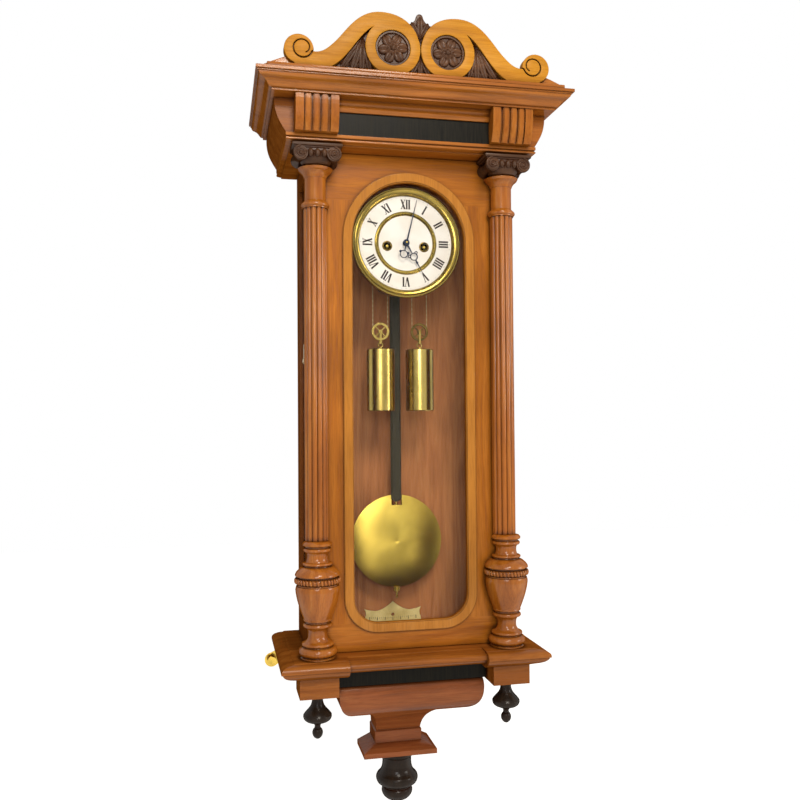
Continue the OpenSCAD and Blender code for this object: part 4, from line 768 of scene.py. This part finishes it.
strip = block(-STRIP_OUT, STRIP_OUT, crest_low.y - 4 * MM, crest_low.y - 0.4 * MM, top_z + 0.1,
              top_z + 0.1 + STRIP_HIGH, 1.2)
wedge = [(180, 0.3), (180, 12), (204, 18)]
wedge += bend((204, 18), (216, 14), (230, 8), (243, 0.8), 6) + [(243, 0.3)]
wedges = [flat_board([lifted(hand(wedge))], carve_y, ground_back, 0.5)
          for hand in (list, mirrored)]
make_piece("crest_strip", [strip] + wedges, "case", cornice_walnut)

# %% [markdown]
# A rosette sits in each ring: a turned saucer with a raised rim, two rows of six petals that curl
# round the middle and a small boss. The saucer is a cylinder whose front face is inset twice, once
# to leave the rim and once to sink the middle. Each row of petals gives its turn in steps, its
# place forward and outward, its lean and its leaf.

# %% Rosettes
ROSETTE_R, BOSS_R = 26.5, 4.4
PETALS = 6
PETAL_ROWS = ((0, 0, 4, 30, (19.5, 17, 8), {"groove": 0.6, "tip": 0.05, "foot": 0.4}),
              (0.5, 1.4, 0, 24, (12.5, 9.5, 6), {"tip": 0.1, "segments": 14, "rings": 8}))
petal_y = crest_low.y + 3.4 * MM
rosette_z = top_z + RING_R
rosettes = []
for rosette_x in (RING_R + 0.2, -RING_R - 0.2):
    saucer = drum(rosette_x, crest_low.y + 2 * MM, crest_high.y, rosette_z, ROSETTE_R, 64)
    bpy.ops.object.mode_set(mode="EDIT")
    bpy.ops.mesh.select_all(action="DESELECT")
    bpy.ops.object.mode_set(mode="OBJECT")
    for face in saucer.data.polygons:
        face.select = face.normal.y < -0.9
    bpy.ops.object.mode_set(mode="EDIT")
    bpy.ops.mesh.select_mode(type="FACE")
    bpy.ops.mesh.inset(thickness=2.6 * MM, depth=0)
    bpy.ops.mesh.inset(thickness=1.4 * MM, depth=-2.6 * MM)
    bpy.ops.object.mode_set(mode="OBJECT")
    rosettes.append(saucer)
    for start, proud, out, lean, sizes, more in PETAL_ROWS:
        centre = move((rosette_x * MM, petal_y - proud * MM, rosette_z * MM))
        places = [centre @ turned(360 / PETALS * (i + start)) @ move((0, 0, out * MM))
                  @ turned(lean) for i in range(PETALS)]
        rosettes += lay_copies(leaf(*sizes, **more), places)
    rosettes.append(ball(rosette_x, petal_y - 2.4 * MM, rosette_z, BOSS_R, BOSS_R, BOSS_R))
flowers = make_piece("carved_rosettes", rosettes, "case", carved_walnut, smooth=50)
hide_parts("crest_rosettes")

# %% [markdown]
# The capitals are Ionic. The scroll of each volute was drawn with a string that unwinds from a
# peg, so it is a spiral whose gap shrinks towards the eye, and a carver left a rounded fillet
# along it. A tube does this: its points follow the spiral, each with a smaller radius than the
# last, and a disc behind it is the ground. Between the volutes lie three eggs with darts, above
# them the abacus, and a cushion joins each volute to the door. Below hangs the bell, a skin over
# rings of points that are flattened where they meet the door.

# %% Capitals
COLUMN_X = 153
VOLUTE_OUT, VOLUTE_SPREAD = 12, 25.8
EGG_STEP = 10.4
CUSHION = ((0, 11.2), (0.18, 9.4), (0.42, 8), (0.58, 8), (0.82, 9.4), (1, 11.2))
BELL = ((0.1, 0), (19, 0), (21, 1.2), (24.6, 5.4), (27.4, 10), (28.4, 14), (0.1, 15))
capital_low, capital_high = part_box("column_capitals")
shaft_low, shaft_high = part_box("column_shafts")
column_y = (shaft_low.y + shaft_high.y) / 2
cap_front, cap_back = capital_low.y, capital_high.y
cap_foot, abacus_top = capital_low.z / MM, capital_high.z / MM
volute_z = cap_foot + 13.2
face = cap_front + 2.6 * MM


def fillet_spiral(x, y, z, outer, turns, thick, hand):
    """A rounded spiral fillet round an eye, facing the room; hand is 1 or -1."""
    count = int(turns * 26)
    points, radii = [], []
    for i in range(count + 1):
        t = i / count
        a = radians(90) + hand * tau * turns * t
        r = outer * (1 - t) ** 1.15 + 2.2 * t
        points.append(((x + r * cos(a)) * MM, y, (z + r * sin(a)) * MM))
        radii.append(thick * (1 - 0.5 * t) * MM)
    return tube(points, radii)


def volute(x, side):
    """A volute with its disc, fillet and eye, and the cushion that joins it to the door."""
    front = face + 3 * MM
    cushion = [[(px * MM, front + t * (cap_back - front), pz * MM)
                for px, pz in ring_points(x, volute_z, r, 32)] for t, r in CUSHION]
    return [drum(x, face, face + 4 * MM, volute_z, VOLUTE_OUT - 0.8),
            fillet_spiral(x, face, volute_z, VOLUTE_OUT - 1.2, 2.1, 1.7, -side),
            ball(x, face - 0.2 * MM, volute_z, 2.5, 2.0, 2.5, 16), skin(cushion)]


capital_parts = []
for column in (COLUMN_X, -COLUMN_X):
    for half, front, low, high, soft in (
            (38.6, cap_front + 0.4 * MM, abacus_top - 5, abacus_top, 1.1),
            (35.5, cap_front + 3 * MM, abacus_top - 7.4, abacus_top - 4.6, 0.8),
            (26, face + 2 * MM, volute_z - 1, abacus_top - 7, 1.2)):
        capital_parts.append(block(column - half, column + half, front, cap_back, low, high,
                                   soft))
    for side in (1, -1):
        capital_parts += volute(column + side * VOLUTE_SPREAD, side)
        capital_parts.append(leaf_at(column + side * 16, volute_z + 4, face + 0.6 * MM,
                                     side * 128, 13, 6, 5))
    capital_parts += [ball(column + i * EGG_STEP, face + 1.4 * MM, volute_z + 1.4, 4.2, 4.4, 6.4)
                      for i in (-1, 0, 1)]
    capital_parts += [ball(column + i * EGG_STEP, face + 2.4 * MM, volute_z + 0.4, 1.1, 2.6, 5.6,
                           12) for i in (-0.5, 0.5)]
    capital_parts.append(skin([[(x * MM, min(column_y + y * MM, cap_back), (cap_foot + up) * MM)
                                for x, y in ring_points(column, 0, r)] for r, up in BELL]))
capitals = make_piece("carved_capitals", capital_parts, "door", carved_walnut,
                      smooth=45)
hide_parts("column_capitals")

# %% [markdown]
# What comes off a lathe is a section turned round an axis: a wooden urn here, the brass rings of
# the dial later. The section is drawn in radius and height and the spin operator turns it. An urn
# runs up from a fat foot roll through a waist to a swelling body, then a beaded band, a low dome
# and a neck between two rolls. Sharp quirks part these members; dark wax settles in them, and
# painted shade darkens them too. Its back is planed flat where it is glued to the door.

# %% Urns
def lathe(section, place, closed=True):
    """A shape turned round its own Z from a section of (radius, height) in millimetres."""
    mesh = bpy.data.meshes.new("turned")
    count = len(section)
    edges = [(i, (i + 1) % count) for i in range(count if closed else count - 1)]
    mesh.from_pydata([(r * MM, 0, h * MM) for r, h in section], edges, [])
    made = edit(new_object(mesh),
                lambda: bpy.ops.mesh.spin(steps=96, angle=tau, center=(0, 0, 0), axis=(0, 0, 1)),
                weld)
    made.data.transform(place)
    return made


def roll(r, h, half):
    """Section points of a half-round moulding that reaches radius r at height h."""
    return ring_arc(r - half, h, half, -78, 78, 8)


urn_low, urn_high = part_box("column_urns")
urn_section = ([(0, 0), (27, 0), (27, 1.6)] + roll(29.8, 10.4, 6.8) + [(22.6, 17.8), (22.6, 18.6)]
               + roll(24.8, 21.4, 2.6) + bend((20.5, 24.6), (16, 27), (14.8, 32), (14.8, 36), 6)
               + bend((14.8, 36), (14.8, 41.5), (16, 45), (18.6, 46.6), 6)
               + roll(22.8, 50.2, 3.2) + [(19, 54), (18.8, 56.6), (21.8, 57.2), (22.4, 58.6)]
               + bend((21.8, 60), (27, 73), (34, 92), (34.4, 108.8), 14)
               + [(33, 110.2), (31.6, 110.8), (31.6, 112.6)] + roll(34.2, 118.4, 5)
               + [(30.6, 123.8), (30.6, 125.2), (34.2, 125.8)]
               + bend((34.8, 126.6), (34.8, 131), (30, 135), (24, 139.4), 10)
               + [(20.6, 139.8), (20.4, 141)] + roll(23.2, 143.6, 2.4)
               + bend((18.4, 146.4), (16.6, 149), (16.2, 153), (16.3, 157), 6)
               + bend((16.3, 157), (16.6, 160), (18, 161.6), (19, 162), 4)
               + roll(22.2, 165.2, 3) + [(19, 168.8), (18.8, 170.8), (21.8, 171.2), (23, 172.4),
                                         (23, 175), (20.6, 177.4), (18.5, 178), (0, 178)])
URN_DRAWN = (36, 178)
wide = (urn_high.x / MM - COLUMN_X) / URN_DRAWN[0]
tall = (urn_high.z - urn_low.z) / MM / URN_DRAWN[1]
urns = []
for column in (COLUMN_X, -COLUMN_X):
    place = move((column * MM, column_y, urn_low.z))
    urn = lathe(urn_section, place @ Matrix.Diagonal((wide, wide, tall, 1)), closed=False)
    urns.append(edit(urn, lambda: bpy.ops.mesh.bisect(plane_co=(0, urn_high.y, 0),
                                                      plane_no=(0, 1, 0), use_fill=True,
                                                      clear_outer=True)))
turned_urns = make_piece("turned_urns", urns, "door", turned_walnut, smooth=32)
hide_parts("column_urns")

# %% [markdown]
# A row of beads runs round the band of each urn: short ones, each leaning over the next. One bead
# is a small ball stretched and tilted, and it is laid round the urn's axis by turning, but not
# where the back is planed flat.

# %% Beads on the urns
ROPE_UP = 118.4
ROPE_BEADS = 38
reach = 33.6 * wide * MM
turns = [360 / ROPE_BEADS * (i + 0.5) for i in range(ROPE_BEADS)]
rope = []
for column in (COLUMN_X, -COLUMN_X):
    axis = move((column * MM, column_y, urn_low.z + ROPE_UP * tall * MM))
    places = [axis @ turned(-a, "Z") @ move((0, reach, 0)) @ turned(14) for a in turns
              if column_y + reach * cos(radians(a)) <= urn_high.y - 3 * MM]
    rope += lay_copies(ball(0, 0, 0, 2.3, 2.5, 4.4, 12), places)
make_piece("urn_ropes", rope, "door", turned_walnut, smooth=60)

# %% [markdown]
# The apron closes the case below. Its front board and two ends were run with the same plane and
# mitred: rounded over above, hollow below, down to a square block on a plinth with a bevelled
# top. The shape is a stack of rectangles against the wall. Each row gives how far it lies below
# the ebonised band, half its width, and its depth from the wall, and two curves give the rows of
# the ogee.

# %% Apron
under_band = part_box("apron")[1].z
rows = (bend((0, 116.6, 161), (3, 117.4, 166.4), (8, 118, 169.6), (15, 118, 170), 8)
        + bend((15, 118, 170), (40, 118, 170), (54, 108, 160), (58, 83, 134), 16)
        + [(58, 83, 134), (65.5, 63, 113)]
        + bend((67, 60, 109), (78, 46, 82), (94, 39, 62), (115, 38.5, 52), 14)
        + [(115, 38.5, 52), (116.6, 40.5, 54), (135.4, 40.5, 54), (136.6, 43, 57), (145.6, 63, 75),
           (153.5, 63, 75)])
stack = [[(side * half * MM, -deep * MM, under_band - down * MM)
          for side, deep in ((-1, 0), (-1, depth), (1, depth), (1, 0))]
         for down, half, depth in rows]
apron_part = edit(skin(stack, capped=True), weld)
shaped_apron = make_piece("shaped_apron", [apron_part], "case", apron_walnut)
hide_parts("apron")

# %% [markdown]
# The bezel was spun from sheet brass: a bright lip, a hollow and an inner bead. Its section is
# drawn in millimetres inwards from its edge and back from its lip, and it is turned like the
# urns, only round an axis that points at the room. The ring between centre and chapter ring is
# made the same way, hollow between its two edges.

# %% Bezel and ring
BEZEL = ((0, 4.2), (0.5, 1.2), (1.6, 0.1), (3, 0.2), (3.9, 1.4), (5.4, 2.9), (7.4, 3.7),
         (9.2, 4), (9.8, 3.1), (10.8, 2.9), (11.6, 3.6), (12.2, 5.2), (13.2, 6.4))
RING = [(45.5, 0), (52, 0), (52, 3.6), (51.3, 4.5), (50.4, 4.2), (49.8, 3.6), (48.8, 3.3),
        (47.7, 3.6), (47.1, 4.2), (46.2, 4.5), (45.5, 3.6)]
bezel_out = (rings_high.x - rings_low.x) / 2 / MM
lip = (rings_high.y - rings_low.y) / MM
bezel = [(bezel_out - 13.2, 0), (bezel_out - 0.6, 0)]
bezel += [(bezel_out - inward, lip - back) for inward, back in BEZEL]
to_dial = move((0, rings_high.y, dial.z)) @ FACE_ROOM
turned_rings = make_piece("dial_turnings", [lathe(bezel, to_dial), lathe(RING, to_dial)], "case",
                          bezel_brass, smooth=30)
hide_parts("dial_rings")

# %% [markdown]
# Round each winding hole is a little stepped collar of darkened brass. The beat plate under the
# bob has its arc of degrees engraved near its lower edge: short lines, every fourth one longer
# and broader, cut by hand and blackened.

# %% Winding collars and the scale on the beat plate
WINDING = (31, -5.5)
COLLAR_STEPS = ((8.4, 6.3, 0.5), (7.4, 6.3, 1.3))
ARC_CENTRE_Z, ARC_R = -140.3, 686
DEGREE_STEP = 0.29
collars = []
for sign in (1, -1):
    for outer, inner, proud in COLLAR_STEPS:
        bpy.ops.mesh.primitive_torus_add(major_segments=48, minor_segments=10,
                                         major_radius=(outer + inner) / 2 * MM,
                                         minor_radius=(outer - inner) / 2 * MM,
                                         rotation=(pi / 2, 0, 0),
                                         location=(sign * WINDING[0] * MM, enamel_face + 0.5 * MM,
                                                   dial.z + WINDING[1] * MM))
        bpy.context.object.scale.z = proud
        collars.append(settle())
make_piece("winding_collars", collars, "case", aged_and_shaded_brass, smooth=60)

plate_arc = move((0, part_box("beat_plate")[0].y, ARC_CENTRE_Z * MM))
scale_marks = []
for i in range(-12, 13):
    reach, broad = (2.6, 0.55) if i % 4 else (5.5, 1.1)
    scale_marks += lay_copies(stroke(0, -ARC_R, 0, -ARC_R - reach, broad),
                              [plate_arc @ turned(i * DEGREE_STEP)])
make_piece("beat_scale", scale_marks, "case", ink)

# %% [markdown]
# Each weight hangs in the loop of a gut line, which leaves the barrel, passes under the pulley
# and ends on a post between the plates. The line is a thin tube drawn along that route.

# %% Gut lines
LINE_R = 0.6 * MM
steps = [i / 40 for i in range(41)]
for name, load, out in (("going", "going_load", 1), ("strike", "strike_load", -1)):
    line_low, line_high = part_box(name + "_line")
    line_middle = (line_low + line_high) / 2
    sheave = (line_high.x - line_low.x) / 2 - LINE_R
    barrel_x, post_x = line_middle.x + out * sheave, line_middle.x - out * sheave
    under_z = line_low.z + LINE_R + sheave
    post_z = max(v.co.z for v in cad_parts[name + "_line"].data.vertices
                 if abs(v.co.x - post_x) < 2 * LINE_R)
    route = [(barrel_x, line_high.z + (under_z - line_high.z) * t) for t in steps[:-1]]
    route += [(line_middle.x + out * sheave * cos(pi * t), under_z - sheave * sin(pi * t))
              for t in steps]
    route += [(post_x, under_z + (post_z - under_z) * t) for t in steps[1:]]
    cord = tube([(x, line_middle.y, z) for x, z in route], [LINE_R] * len(route), capped=True)
    gut_run = make_piece(name + "_gut", [cord], None, gut, smooth=60)
    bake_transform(gut_run)
    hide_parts(name + "_line")

# %% [markdown]
# The clock hangs in an even studio light, so that it looks right in other light too. A lamp in
# front and above gives form, a second one far to the right draws the long highlights down the
# columns and urns, a third in front keeps the inside open, and the world fills in. The
# background is white only for rays that come from the camera, from glossy surfaces and through
# glass, and the lamps stay at a plain level.

# %% Light and floor
LAMPS = (("key", (0.1, -2.0, 1.05), 0.6, 32, "#FFF6E8"),
         ("side", (2.2, -1.3, -0.1), 0.8, 20, "#FFFAF2"),
         ("front", (-0.5, -2.3, 0.0), 0.7, 17, "#FFFFFF"))
PAPER_GLOW = 0.72
FLOOR_GAP = 0.12
aim = Vector((0, frame_box[0].y / 2, dial.z))
for name, place, size, power, tint in LAMPS:
    bpy.ops.object.light_add(type="AREA", location=place)
    lamp = bpy.context.object
    lamp.name = name
    lamp.data.shape = "SQUARE"
    lamp.data.size = size
    lamp.data.energy = power
    lamp.data.color = linear(tint)[:3]
    lamp.rotation_euler = (aim - Vector(place)).to_track_quat("-Z", "Y").to_euler()
    lamp.select_set(False)

world = bpy.data.worlds.new("studio")
scene.world = world
world.use_nodes = True
sky = world.node_tree
sky.nodes.clear()
rays = add(sky, "LightPath")
straight = sums(sky, "MAXIMUM", (rays, "Is Camera Ray"), (rays, "Is Transmission Ray"))
shown = sums(sky, "MAXIMUM", straight, (rays, "Is Glossy Ray"))
fill_light = add(sky, "Background", inputs={"Color": linear("#FFF9F0"), "Strength": 0.3})
white = add(sky, "Background", inputs={"Color": (1, 1, 1, 1), "Strength": 1.0})
choice = add(sky, "MixShader", {0: shown, 1: (fill_light, "Background"),
                                2: (white, "Background")})
add(sky, "OutputWorld", {"Surface": (choice, "Shader")})

bpy.ops.mesh.primitive_grid_add(x_subdivisions=8, y_subdivisions=8, size=8,
                                location=(0, 0, frame_box[0].z - FLOOR_GAP))
floor = bpy.context.object
floor.name = "floor"
paper, tree, shader, place = new_finish("studio paper")
tooth = tone(tree, noise(tree, place, 250, 2), [(0.3, "#F4F3F1"), (0.7, "#FAFAF8")])
rays = add(tree, "LightPath")
shown = sums(tree, "MAXIMUM", (rays, "Is Camera Ray"), (rays, "Is Glossy Ray"))
wire(tree, shader, {"Base Color": tooth,
                    "Emission Strength": sums(tree, "MULTIPLY", shown, PAPER_GLOW)},
     {"Roughness": 0.9, "Emission Color": (1, 1, 1, 1)})
floor.data.materials.append(paper)
floor.select_set(False)
print("floor at", round(floor.location.z, 3))

# %% [markdown]
# Last, the clock's box kept at the start is printed.

# %% Close
print("frame box", [tuple(round(x, 4) for x in v) for v in frame_box])
